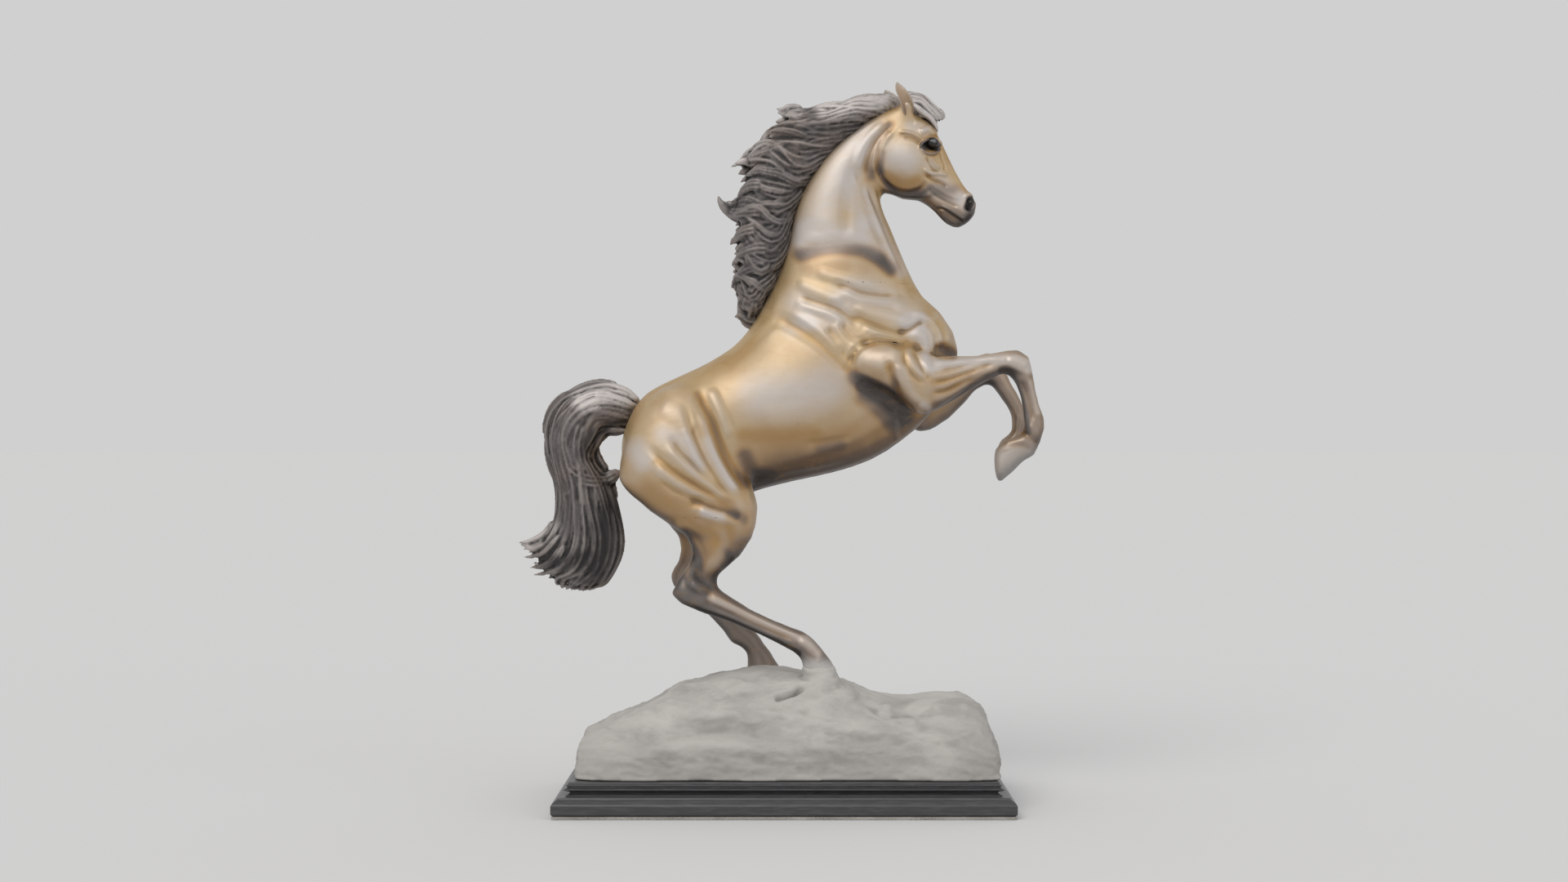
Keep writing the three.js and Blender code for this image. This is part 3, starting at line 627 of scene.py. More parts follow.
bodyStrokes = [
    # groove behind the shoulder blade, with its ridge
    [-1.9, 7, [(-8, 404), (5, 398), (20, 389), (34, 379), (45, 369), (54, 360), (58, 352)]],
    [1.1, 7, [(4, 408), (20, 399), (36, 387), (50, 375)]],
    [-1.3, 4, [(35, 396), (43, 385), (51, 374), (58, 367)]],
    [1.0, 4, [(42, 400), (50, 390), (60, 381), (68, 378)]],
    # folds of skin over the shoulder
    [1.2, 5, [(26, 443), (40, 438), (54, 435), (68, 432), (80, 430)]],
    [-1.2, 4, [(40, 434), (52, 429), (64, 424), (80, 422), (94, 422)]],
    [1.1, 5, [(10, 433), (25, 427), (40, 421), (52, 419)]],
    [1.1, 5, [(48, 429), (60, 421), (74, 418), (90, 417), (102, 413)]],
    [-1.3, 4, [(12, 421), (28, 415), (42, 411), (54, 404), (64, 397)]],
    [1.0, 5, [(8, 415), (24, 412), (38, 407), (52, 399)]],
    [1.1, 5, [(58, 414), (72, 408), (86, 405), (98, 402), (108, 397)]],
    [-1.3, 4, [(56, 408), (68, 401), (80, 396), (92, 392), (104, 392)]],
    [-1.6, 3, [(94, 392), (103, 393), (111, 398), (118, 401)]],
    [1.2, 4, [(66, 396), (78, 391), (90, 388), (100, 385)]],
    [-1.1, 4, [(47, 400), (52, 391), (60, 384), (72, 386)]],
    # chest
    [1.3, 4, [(106, 407), (117, 404), (126, 397), (131, 388), (132, 379)]],
    [-1.5, 3, [(117, 401), (125, 394), (128, 385), (127, 375)]],
    [1.1, 3, [(123, 408), (131, 400), (136, 390), (138, 382)]],
    [-1.2, 3, [(126, 403), (132, 394), (134, 384), (131, 375)]],
    [-2.4, 7, [(131, 376), (139, 374)]],
    [1.0, 8, [(108, 392), (116, 384), (120, 372)]],
    # arm
    [1.3, 15, [(69, 369), (82, 371)]],
    [-1.9, 4, [(56, 362), (58, 373), (66, 381), (78, 385), (90, 384), (100, 377)]],
    [-2.8, 8, [(58, 352), (66, 346), (76, 341), (87, 335), (98, 326), (108, 321)]],
    [-1.8, 4, [(86, 368), (90, 358), (94, 346), (101, 335), (110, 325)]],
    [2.0, 7, [(96, 366), (98, 353), (103, 341), (112, 331)]],
    [1.2, 4, [(103, 385), (106, 371), (112, 359), (119, 351)]],
    [-1.2, 3, [(99, 376), (102, 364), (109, 355), (118, 348)]],
    [-1.3, 3, [(108, 377), (112, 366), (118, 357), (122, 350)]],
    [1.3, 4, [(114, 394), (117, 380), (119, 367), (122, 354)]],
    [1.7, 7, [(114, 330), (119, 328)]],
    # near forearm and knee
    [1.2, 4, [(124, 364), (140, 367), (160, 368), (182, 371)]],
    [-0.8, 3, [(130, 360), (146, 362), (162, 365), (178, 367)]],
    [1.0, 3, [(124, 353), (138, 355), (152, 360), (170, 363)]],
    [-1.4, 2.6, [(124, 350), (138, 353), (152, 357), (164, 362), (174, 364)]],
    [1.1, 3, [(122, 345), (135, 347), (150, 353), (166, 358), (182, 361)]],
    [-1.2, 2.6, [(124, 341), (136, 343), (148, 349), (160, 355)]],
    [1.0, 4, [(122, 335), (134, 337), (146, 343), (156, 350)]],
    [-1.4, 2.6, [(118, 322), (128, 325), (138, 332), (148, 340), (158, 348)]],
    [1.2, 5, [(186, 367), (196, 366), (202, 362)], right],
    [-1.0, 3, [(178, 361), (190, 358), (200, 354)], right],
    [1.0, 2.4, [(200, 356), (206, 344), (210, 330), (214, 318)], right],
    [-1.3, 2.2, [(197, 352), (202, 340), (206, 327), (208, 316)], right],
    [0.9, 2.4, [(194, 348), (198, 338), (201, 326), (203, 312)], right],
    [1.2, 4, [(206, 311), (210, 305)], right],
    [-1.2, 2.4, [(198, 309), (206, 304), (212, 298)], right],
    [1.0, 3, [(184, 300), (194, 301), (203, 302)], right],
    [-1.0, 2.4, [(179, 292), (188, 295), (198, 297), (207, 292)], right],
    # belly
    [-0.7, 3, [(18, 299), (32, 300), (45, 302), (57, 304)]],
    [-0.6, 3, [(-16, 272), (10, 273), (35, 277), (55, 282)]],
    [0.9, 3, [(97, 322), (94, 311), (96, 301)]],
    [1.2, 3, [(93, 326), (99, 323), (103, 318)]],
    [0.6, 10, [(-20, 320), (10, 322), (45, 330)]],
    # flank and stifle
    [-2.0, 6, [(-73, 346), (-68, 334), (-61, 319), (-55, 303), (-47, 286), (-37, 270), (-28, 260)]],
    [1.5, 5, [(-62, 345), (-55, 330), (-50, 317), (-45, 303)]],
    [1.6, 5, [(-69, 326), (-64, 308), (-57, 288), (-47, 270), (-36, 256)]],
    [-1.4, 3.5, [(-83, 330), (-78, 314), (-72, 297), (-64, 280), (-55, 266), (-44, 253)]],
    [1.2, 4, [(-84, 312), (-77, 296), (-69, 280), (-58, 265), (-46, 253)]],
    [-1.2, 3.5, [(-96, 305), (-86, 291), (-74, 279), (-60, 266), (-46, 252)]],
    [1.2, 4, [(-100, 297), (-89, 286), (-76, 274), (-61, 262), (-46, 250)]],
    [-1.3, 4, [(-113, 296), (-101, 284), (-88, 273), (-73, 263), (-58, 254), (-44, 246)]],
    [1.2, 5, [(-110, 281), (-97, 270), (-82, 261), (-66, 254), (-52, 248)]],
    [-1.0, 4, [(-104, 270), (-92, 260), (-78, 254), (-64, 249)]],
    [-2.0, 5, [(-82, 250), (-70, 249), (-57, 245), (-46, 240), (-34, 234)]],
    [1.3, 5, [(-72, 243), (-60, 238), (-48, 236), (-38, 237)]],
    [0.9, 8, [(-104, 330), (-88, 322), (-76, 308)]],
    # gaskin, hock and cannon
    [-1.3, 4, [(-86, 228), (-76, 221), (-69, 210), (-68, 198), (-73, 186)]],
    [1.3, 6, [(-56, 231), (-50, 218), (-54, 205), (-60, 193)]],
    [1.0, 4, [(-78, 181), (-69, 178), (-62, 183)], right],
    [-1.2, 3, [(-75, 188), (-66, 178), (-62, 170), (-66, 162)], right],
    [1.0, 4, [(-88, 184), (-86, 176)], right],
    [1.0, 2.6, [(-62, 173), (-45, 164), (-25, 154), (-4, 144), (14, 137)], right],
    [-1.2, 2.4, [(-64, 166), (-46, 158), (-26, 148), (-6, 140), (12, 134)], right],
    [1.0, 2.6, [(-62, 160), (-42, 152), (-22, 143), (-2, 135)], right],
    [1.2, 5, [(18, 133), (23, 128)], right],
    [-1.2, 3, [(14, 128), (21, 123), (28, 117)], right],
    [1.0, 4, [(-30, 134), (-22, 128)], left],
    [-1.0, 2.4, [(-48, 148), (-36, 140), (-26, 130)], left],
    # neck: throat ridges, jugular groove, fold behind the jaw, band at the base
    [1.3, 3, [(64, 520), (70, 506), (77, 490), (85, 471), (92, 455), (100, 441)]],
    [-1.5, 2.6, [(68, 517), (74, 502), (81, 485), (89, 466), (97, 449), (104, 436)]],
    [1.2, 2.6, [(73, 514), (79, 498), (86, 480), (93, 462), (101, 445), (108, 432)]],
    [-1.2, 5, [(60, 532), (63, 518), (69, 500), (76, 482), (84, 464), (93, 448)]],
    [-1.7, 4, [(92, 567), (83, 557), (74, 545), (69, 532), (68, 519)]],
    [1.2, 3.5, [(90, 560), (81, 549), (76, 536), (74, 524)]],
    [1.2, 4, [(84, 566), (72, 555), (64, 541), (61, 527)]],
    [-1.1, 9, [(12, 456), (30, 461), (50, 463), (70, 458), (86, 448), (98, 437)]],
    [0.4, 9, [(12, 445), (38, 450), (64, 449), (86, 440)]],
    [1.0, 16, [(30, 474), (38, 500), (50, 530), (68, 555)]],
    [-0.9, 6, [(52, 470), (52, 492), (55, 512), (60, 530)]],
    [-1.4, 5, [(84, 578), (60, 565), (36, 545), (20, 522), (8, 496), (2, 470), (-8, 440)]],
]
headStrokes = [
    # cheek and jaw
    [1.5, 21, [(96, 534), (101, 534)]],
    [-1.4, 3.4, [(86, 556), (80, 546), (78, 532), (82, 519), (91, 511), (103, 508), (114, 511), (121, 520)]],
    [0.8, 3, [(82, 512), (91, 506), (104, 504), (116, 505), (126, 509)]],
    # cheekbone, brow and eyelids
    [0.9, 2.6, [(96, 559), (105, 558), (112, 555), (117, 551)]],
    [-0.7, 2.2, [(100, 554), (108, 552), (114, 548)]],
    [1.8, 4.2, [(113, 558), (120, 561), (128, 557)]],
    [-1.5, 5, [(120, 547), (127, 546)]],
    [2.2, 2.2, [(113, 545), (117, 550.5), (123, 553), (128, 551), (131, 546)]],
    [1.8, 2.0, [(114, 545), (118, 541.5), (124, 540), (130, 543.5)]],
    [-0.9, 1.6, [(129, 545), (131, 540), (132, 535)]],
    [0.7, 4, [(108, 567), (118, 565), (124, 562)]],
    # tear grooves and the crest of the face
    [-1.0, 2.0, [(118, 538), (121, 532), (125, 527), (131, 524)]],
    [0.8, 1.9, [(123, 538), (127, 531), (131, 528)]],
    [-0.8, 1.6, [(132, 536), (134, 531), (134, 526)]],
    [1.2, 2.6, [(116, 528), (123, 524), (130, 524), (137, 522)]],
    [-1.3, 2.6, [(117, 523), (124, 518), (131, 516), (137, 512)]],
    [1.0, 3.0, [(124, 514), (132, 509), (140, 505), (147, 503)]],
    [-0.9, 2.2, [(120, 511), (128, 504), (138, 499), (146, 496)]],
    [0.7, 2.6, [(130, 551), (138, 534), (147, 517), (153, 507)]],
    # nostril, mouth and chin
    [0.9, 2.4, [(150, 503), (153, 506.5), (157, 505), (159, 500), (158, 495), (154, 492), (151, 495)]],
    [-5.2, 4.3, [(155.5, 501), (154, 496)]],
    [-1.3, 1.5, [(126, 494), (133, 494), (139, 490), (146, 485), (152, 481.5)]],
    [0.8, 2.0, [(130, 497.5), (138, 494), (146, 489), (152, 485)]],
    [0.6, 1.8, [(131, 490), (138, 485), (145, 480.5)]],
    [-0.8, 1.4, [(122, 497), (129, 490), (136, 482.5)]],
]
soft = {"height": 0.84, "reach": 1.38}      # the body's strokes are worked lower and wider than drawn
tool = Strokes(clay)
softened = [[height * soft["height"], reach * soft["reach"], *rest] for height, reach, *rest in bodyStrokes]
height = tool.total(softened) + tool.total(headStrokes)
clay.points += clay.normals() * (height * mm)[:, None]
clay.smooth(2)
clay.store()

# painted highlights: where the skin is painted pale, as if lit
paleStrokes = [
    [0.8, 24, [(24, 480), (34, 500), (48, 526), (70, 558)]],
    [0.8, 17, [(14, 474), (40, 472), (68, 476)]],
    [0.6, 12, [(66, 486), (58, 500), (56, 520)]],
    [0.8, 9, [(68, 508), (78, 484), (88, 460), (98, 442)]],
    [0.5, 12, [(10, 462), (32, 467), (56, 468), (76, 461)]],
    [0.85, 30, [(-20, 338), (8, 340), (36, 346)]],
    [0.7, 21, [(12, 416), (38, 404), (60, 425), (92, 414), (104, 404)]],
    [0.6, 12, [(6, 395), (20, 400)]],
    [0.15, 9, [(68, 375), (84, 376)]],
    [0.8, 13, [(126, 508), (140, 502), (150, 498)]],
    [0.6, 5, [(115, 330), (120, 328)]],
    [1.0, 15, [(108, 398), (118, 386), (121, 366)]],
    [0.85, 16, [(-124, 294), (-118, 285)]],
    [0.7, 14, [(-100, 306), (-84, 300), (-72, 282)]],
    [0.6, 8, [(-64, 300), (-52, 276), (-44, 264)]],
    [0.7, 6, [(-66, 242), (-52, 238)]],
    [0.8, 8, [(128, 364), (160, 367), (188, 369), (204, 364)]],
    [1.0, 8, [(194, 366), (205, 362)]],
    [1.0, 20, [(94, 538), (103, 536)]],
    [0.5, 8, [(122, 530), (138, 514), (148, 505)]],
    [0.95, 4.5, [(-62, 170), (-25, 153), (14, 136)], right],
    [1.0, 8, [(18, 134), (27, 124)], right],
    [0.9, 5, [(-32, 132), (-22, 126)], left],
    [0.5, 4, [(206, 350), (212, 325)], right],
    [0.6, 9, [(106, 563), (118, 560)]],
]
# painted shade: where the skin is painted dark, in hollows and under edges
darkStrokes = [
    [0.9, 12, [(58, 354), (72, 344), (86, 335), (100, 322)]],
    [0.7, 13, [(66, 338), (78, 330), (92, 317)]],
    [0.7, 13, [(-34, 288), (-28, 272), (-14, 268)]],
    [0.3, 9, [(30, 297), (46, 299)]],
    [0.75, 8, [(131, 378), (141, 373)]],
    [0.75, 10, [(124, 510), (140, 509)]],
    [0.45, 11, [(134, 498), (148, 488)]],
    [0.6, 3.5, [(192, 353), (198, 338), (202, 322), (204, 308)], right],
    [0.6, 6, [(174, 352), (186, 345), (192, 330)], left],
    [0.5, 9, [(-48, 250), (-34, 236)]],
    [0.55, 11, [(-88, 184), (-74, 180)]],
    [0.8, 5, [(-76, 160), (-46, 151), (-14, 136), (12, 124)]],
    [0.6, 5, [(-52, 212), (-44, 200), (-58, 186)]],
    [0.65, 9, [(88, 564), (76, 548), (71, 532), (72, 522)]],
    [0.8, 5.5, [(83, 541), (81, 526), (90, 512), (104, 506), (116, 508)]],
    [1.1, 12, [(14, 458), (34, 463), (56, 463), (74, 457), (90, 445)]],
    [0.3, 14, [(20, 446), (50, 448)]],
    [0.3, 10, [(74, 376), (84, 374)]],
    [0.35, 6, [(84, 580), (58, 565), (34, 545), (18, 521), (5, 494), (-1, 468), (-12, 440), (-26, 412)]],
    [0.5, 15, [(138, 492), (152, 489)]],
    [0.4, 12, [(126, 510), (148, 508)]],
    [0.9, 2.6, [(114, 546), (118, 550.5), (124, 552.5), (130, 548)]],
    [0.55, 5, [(98, 557), (106, 556), (114, 550)]],
    [0.7, 2.4, [(115, 545), (119, 541), (125, 540), (130, 544)]],
    [1.3, 5.2, [(118, 547), (122, 546), (127, 546)]],
    [0.4, 5, [(116, 556), (126, 555)]],
    [3.4, 6.0, [(155.5, 501), (154, 496)]],
    [0.8, 6, [(158, 494), (154, 486)]],
    [0.5, 6, [(-72, 340), (-60, 316), (-48, 286), (-32, 262)]],
    [0.5, 5, [(-76, 249), (-58, 245), (-40, 238)]],
    [0.9, 9, [(-84, 220), (-74, 200), (-76, 184), (-66, 176)]],
    [0.4, 6, [(90, 362), (95, 346), (108, 328)]],
]
# where the painted shade is held at amber and the painted sheen held back
warmStrokes = [
    [0.9, 13, [(-50, 228), (-54, 210), (-60, 196)]],
    [0.9, 16, [(-114, 262), (-98, 250), (-84, 242)]],
    [0.8, 7, [(-106, 284), (-86, 271), (-66, 259), (-46, 247)]],
    [0.8, 8, [(-86, 232), (-64, 226)]],
    [0.9, 13, [(-34, 306), (0, 304), (24, 306)]],
    [0.5, 10, [(30, 304), (60, 310)]],
    [0.8, 8, [(66, 362), (80, 358), (90, 364)]],
    [0.8, 8, [(98, 344), (105, 333), (113, 325)]],
    [0.7, 7, [(126, 349), (146, 350), (162, 357)]],
    [0.8, 8, [(86, 522), (98, 513), (111, 518)]],
    [0.65, 6, [(-80, 196), (-78, 184), (-56, 170), (-26, 152), (4, 138)]],
    [0.5, 9, [(-62, 214), (-50, 224)]],
]
# strengths of the painted shade and painted sheen on the skin, and of the grey over the fore hoof
patinaAndPaintedLight = {"under": 0.86, "lowerLegs": 0.80, "cannons": 0.60, "strokes": 0.9, "cleared": 0.4, "warm": 0.34,
          "facing": 0.24, "rubbedAndSheen": 0.75, "warmed": 0.7, "foreHoof": 0.6}


def paintSkin(clay):
    tool = Strokes(clay, wide=True)
    x, z = tool.flat[:, 0], tool.flat[:, 1]
    way = clay.normals()
    for turn in range(12):
        way = clay.around(way)
    clay.reliefs(skinCare["reliefs"])
    # painted shade on the undersides and along the dark strokes; darker too on the lower legs and the
    # forehand, lighter under the painted highlights and held at amber along the warm strokes
    under = softStep(0.0, 0.95, -way[:, 2]) * patinaAndPaintedLight["under"]
    lower = softStep(255, 170, z) * (x < 90) * patinaAndPaintedLight["lowerLegs"]
    cannon = softStep(105, 215, x) * softStep(480, 440, z) * patinaAndPaintedLight["cannons"]
    # the painted highlights of the pale strokes
    rubbedAndSheen = tool.total(paleStrokes)
    dark = under + lower + cannon + tool.total(darkStrokes) * patinaAndPaintedLight["strokes"]
    dark *= 1 - np.clip(rubbedAndSheen, 0, 1) * patinaAndPaintedLight["cleared"]
    warm = np.clip(tool.total(warmStrokes), 0, 1)
    dark += (patinaAndPaintedLight["warm"] - dark) * warm
    # painted sheen: paler where the sides face straight out to either side, plus the painted highlights; held
    # back along the warm strokes
    pale = softStep(0.62, 0.97, np.abs(way[:, 1])) * patinaAndPaintedLight["facing"] + rubbedAndSheen * patinaAndPaintedLight["rubbedAndSheen"]
    pale *= 1 - warm * patinaAndPaintedLight["warmed"]
    nearHoof = softStep(124, 112, z) * (x > 14) * (x < 90) * (clay.points[:, 1] < 0)
    foreHoof = softStep(302, 288, z) * (x > 150) * patinaAndPaintedLight["foreHoof"]
    clay.attribute("dark", np.clip(dark, 0, 2))
    clay.attribute("pale", np.clip(pale, 0, 1))
    clay.attribute("dust", np.clip(nearHoof + foreHoof, 0, 1))


paintSkin(clay)
print("horse sculpted")


def splitByNode(piece, parts):
    trees = {name: nodeTree(node) for name, node in parts.items()}
    names = list(parts)
    labels = []
    for face in piece.data.polygons:
        found = [trees[name].find_nearest(face.center)[3] for name in names]
        labels.append(found.index(min(found)))
    made = []
    vertexNormals = np.empty(len(piece.data.vertices) * 3)
    piece.data.vertices.foreach_get("normal", vertexNormals)
    vertexNormals = vertexNormals.reshape(-1, 3)
    for number, name in enumerate(names):
        bm = bmesh.new()
        bm.from_mesh(piece.data)
        origin = bm.verts.layers.int.new("origin")
        for vert in bm.verts:
            vert[origin] = vert.index
        bm.faces.ensure_lookup_table()
        outside = [face for face, label in zip(bm.faces, labels) if label != number]
        bmesh.ops.delete(bm, geom=outside, context="FACES")
        rims = [edge for edge in bm.edges if edge.is_boundary]
        bmesh.ops.holes_fill(bm, edges=rims, sides=0)
        indices = [vert[origin] for vert in bm.verts]
        part = finishBmesh(name, bm)
        shadeSmooth(part)
        part.data.normals_split_custom_set_from_vertices([Vector(vertexNormals[k]) for k in indices])
        made.append(part)
    return made


for part in splitByNode(horse, skinParts):
    dress(part, "bronze", skinParts[part.name])
bpy.data.objects.remove(horse)
print("horse split into castings")


eyeShape = {"radius": 5.1, "sunk": 0.9, "long": 1.08, "tall": 0.90, "catchLight": 2.6, "catchLightSpot": (1.2, 1.4)}


def makeEye(name, node):
    low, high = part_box(node)
    middle = (Vector(low) + Vector(high)) / 2
    middle.y -= math.copysign(eyeShape["sunk"] * mm, middle.y)
    bm = bmesh.new()
    bmesh.ops.create_uvsphere(bm, u_segments=40, v_segments=24, radius=eyeShape["radius"] * mm)
    bmesh.ops.scale(bm, vec=(eyeShape["long"], 1, eyeShape["tall"]), verts=bm.verts)
    bmesh.ops.translate(bm, vec=middle, verts=bm.verts)
    # painted catch light: a grey-blue reflection painted on the eye, a little ahead of and above its outer
    # middle
    catchLight = bm.verts.layers.float.new("catchLight")
    ahead, above = eyeShape["catchLightSpot"]
    catchLightSpot = middle + Vector((ahead * mm, math.copysign(eyeShape["radius"] * mm, middle.y), above * mm))
    for vert in bm.verts:
        vert[catchLight] = max(0, 1 - ((vert.co - catchLightSpot).length / (eyeShape["catchLight"] * mm)) ** 2)
    for face in bm.faces:
        face.smooth = True
    return finishBmesh(name, bm)


for node in ("right_eye", "left_eye"):
    dress(makeEye("horse_" + node, node), "eye", node)


def drape(route, tree, side, sink):
    # lays a side-view route on a solid, from its left (1) or right (-1) side; gives centres and outward ways
    centres, outwards = [], []
    for x, z in route:
        start = place(x, z, side * 100)
        spot, outward, _, _ = tree.ray_cast(start, Vector((0, -side, 0)))
        if spot is None:
            spot, outward = place(x, z), Vector((0, side, 0))
        else:
            spot = spot - outward * sink * mm
        centres.append(spot)
        outwards.append(outward)
    centres, outwards = np.array(centres), np.array(outwards)
    for turn in range(5):
        centres[1:-1, 1] = (centres[:-2, 1] + 2 * centres[1:-1, 1] + centres[2:, 1]) / 4
        outwards[1:-1] = (outwards[:-2] + 2 * outwards[1:-1] + outwards[2:]) / 4
    return centres, outwards


def addLock(bm, centres, outwards, width, thick, ridges, phase, blunt=0.12, cup=0.0, groove=0.17, point=3.2):
    # a flattened, ridged and tapered lock of hair along a row of centres; cup curls its edges outwards
    steps = len(centres)
    sides = max(16, ridges * 4)
    made = bmesh.ops.create_grid(bm, x_segments=sides, y_segments=steps - 1, size=0.5)["verts"]
    grid = np.array([vert.co[:2] for vert in made])
    grid = (grid - grid.min(0)) / (grid.max(0) - grid.min(0))
    row = np.rint(grid[:, 1] * (steps - 1)).astype(int)
    angle = np.rint(grid[:, 0] * sides).astype(int) % sides * (2 * math.pi / sides)
    ahead = np.gradient(centres, axis=0)
    ahead /= np.linalg.norm(ahead, axis=1)[:, None] + 1e-12
    across = np.cross(ahead, outwards)
    across /= np.linalg.norm(across, axis=1)[:, None] + 1e-12
    up = np.cross(across, ahead)
    share = np.linspace(0, 1, steps)
    taper = np.minimum(1, share / blunt) ** 0.6 * np.maximum(0, 1 - share ** point) ** 0.8
    ripple = 1 + groove * np.cos(ridges * angle + phase + 2.5 * share[row])
    flat = np.cos(angle) * ripple * width / 2 * taper[row]
    tall = np.sin(angle) * ripple * thick / 2 * taper[row] + cup * np.cos(angle) ** 2 * width / 2 * taper[row]
    spots = centres[row] + (across[row] * flat[:, None] + up[row] * tall[:, None]) * mm
    for vert, spot in zip(made, spots):
        vert.co = spot


def upright(route, y):
    # keeps a side-view route in a plane beside the horse's middle, for the hair between its two sides
    centres = np.array([place(x, z, y) for x, z in route])
    return centres, np.tile(np.array([0.0, math.copysign(1, y), 0.0]), (len(route), 1))


def waved(route, height, waves, phase):
    # swings a side-view route from side to side, growing towards its tip
    route = route.copy()
    ahead = np.gradient(route, axis=0)
    ahead /= np.linalg.norm(ahead, axis=1)[:, None] + 1e-12
    share = np.linspace(0, 1, len(route))
    growth = np.sin(math.pi * np.minimum(share * 1.4, 0.85))
    swing = height * np.sin(2 * math.pi * (waves * share + phase)) * growth
    route += np.stack([-ahead[:, 1], ahead[:, 0]], axis=1) * swing[:, None]
    return route


def between(guides, where):
    low = min(int(where), len(guides) - 2)
    part = where - low
    return guides[low] * (1 - part) + guides[low + 1] * part


def growLock(bm, dice, route, tree, side, kind, steps):
    # one lock on a solid's side, its measures drawn from the ranges of its kind
    route = waved(route, dice.uniform(*kind["swing"]), dice.uniform(*kind["waves"]), dice.random())
    if "skip" in kind:
        if "spans" in kind:
            first, last = dice.choice(kind["spans"])
        else:
            first = dice.choice(kind["starts"])
            last = dice.choice(kind["ends"])
        route = curveThrough(route[first:last:kind["skip"]], steps)
    centres, outwards = drape(route, tree, side, dice.uniform(*kind["sink"]))
    addLock(bm, centres, outwards, dice.uniform(*kind["width"]), dice.uniform(*kind["thick"]),
            dice.choice(kind["ridges"]), dice.uniform(0, 6), kind["blunt"])


def growInner(bm, dice, route, kind, steps):
    # one lock close to the horse's middle, which fills the gap between the two sides' hair
    route = waved(route, dice.uniform(*kind["swing"]), dice.uniform(*kind["waves"]), dice.random())
    ends = kind["ends"]
    last = dice.choice(ends) if len(ends) > 1 else ends[0]
    route = curveThrough(route[kind["first"]:last:kind["skip"]], steps)
    centres, outwards = upright(route, dice.uniform(-5, 5))
    addLock(bm, centres, outwards, dice.uniform(*kind["width"]), dice.uniform(*kind["thick"]),
            kind["ridges"], dice.uniform(0, 6), kind["blunt"])


def coverSide(bm, dice, tree, side, care, guides, tips):
    # broad clumps in order, finer strands anywhere on them, then the tips that stand out
    for number in range(care["clumps"]):
        where = (number + dice.uniform(-0.3, 0.3)) / (care["clumps"] - 1) * (len(guides) - 1)
        route = between(guides, min(max(where, 0), len(guides) - 1.001))
        growLock(bm, dice, route, tree, side, care["clump"], care["steps"])
    for number in range(care["strands"]):
        route = between(guides, dice.uniform(0, len(guides) - 1.001))
        growLock(bm, dice, route, tree, side, care["strand"], care["steps"])
    kind = care["tip"]
    for tip in tips:
        centres, outwards = drape(curveThrough(tip, 30), tree, side, 1.0)
        addLock(bm, centres, outwards, dice.uniform(*kind["width"]), kind["thick"], kind["ridges"],
                dice.uniform(0, 6), kind["blunt"], point=kind["point"])


hairReliefs = {"broad": (40, 0.0018), "fine": (6, 0.00026)}


def hairMass(name, node, bm, care):
    # joins the locks to a shrunken copy of the plain solid and makes one skin of them
    bmesh.ops.remove_doubles(bm, verts=bm.verts, dist=0.000005)
    core = nodesAsBmesh([node])
    bmesh.ops.recalc_face_normals(core, faces=core.faces)
    core.normal_update()
    inward = [(vert, vert.normal.copy()) for vert in core.verts]
    for vert, normal in inward:
        vert.co -= normal * care["sink"] * mm
    coreMesh = bpy.data.meshes.new("core")
    core.to_mesh(coreMesh)
    core.free()
    bm.from_mesh(coreMesh)
    bpy.data.meshes.remove(coreMesh)
    piece = finishBmesh(name, bm, recalculate=True)
    remeshed(piece, care["voxel"])
    keepLargest(piece)
    hairClay = Clay(piece)
    hairClay.smooth(1)
    hairClay.reliefs(hairReliefs)
    tool = Strokes(hairClay, wide=True)
    # the dark rows paint shade along the roots of the mane, in the hollow of the tail and under its arch
    for key in ("dust", "dark"):
        hairClay.attribute(key, np.clip(tool.total(care[key]), 0, 1))
    hairClay.store()
    print(name, len(piece.data.polygons), "faces")
    return piece


ear = {"width": 12.5, "thick": 2.8, "cup": 0.40, "voxel": 0.00055,
       "reliefs": {"broad": (30, 0.0007), "fine": (8, 0.0002)}}
earRoutes = {
    # from the root to the tip, as (x, y, z)
    "horse_right_ear": [(104, -9, 566), (102.5, -11, 575), (99, -12.5, 585), (95, -12, 593),
                        (93.5, -11, 599)],
    "horse_left_ear": [(99, 9, 570), (96, 10.5, 578), (91, 12, 586), (87, 11.5, 591), (84.5, 10.5, 596)],
}


def makeEar(name, route):
    bm = bmesh.new()
    path = curveThrough(route, 30)
    centres = np.array([place(x, z, y) for x, y, z in path])
    side = math.copysign(1, path[0][1])
    outwards = np.tile(np.array([0.42, side * 0.90, 0.0]), (len(centres), 1))
    addLock(bm, centres, outwards, ear["width"], ear["thick"], ridges=2, phase=0, blunt=0.3, cup=ear["cup"],
            groove=0.0)
    bmesh.ops.remove_doubles(bm, verts=bm.verts, dist=0.000005)
    piece = finishBmesh(name, bm, recalculate=True)
    remeshed(piece, ear["voxel"])
    earClay = Clay(piece)
    earClay.smooth(4)
    earClay.reliefs(ear["reliefs"])
    height = (earClay.points[:, 2] - earClay.points[:, 2].min()) / np.ptp(earClay.points[:, 2])
    # painted shade inside the ear's cup and towards its root, painted highlight towards its tip
    inside = softStep(0.1, 0.7, earClay.normals() @ outwards[0])
    earClay.attribute("dark", inside * 0.35 + (1 - height) * 0.3)
    earClay.attribute("pale", height * 0.6)
    earClay.attribute("dust", softStep(0.75, 1.0, height) * 0.3)
    earClay.store()
    return piece


for name, route in earRoutes.items():
    dress(makeEar(name, route), "bronze", "head")
print("eyes and ears made")

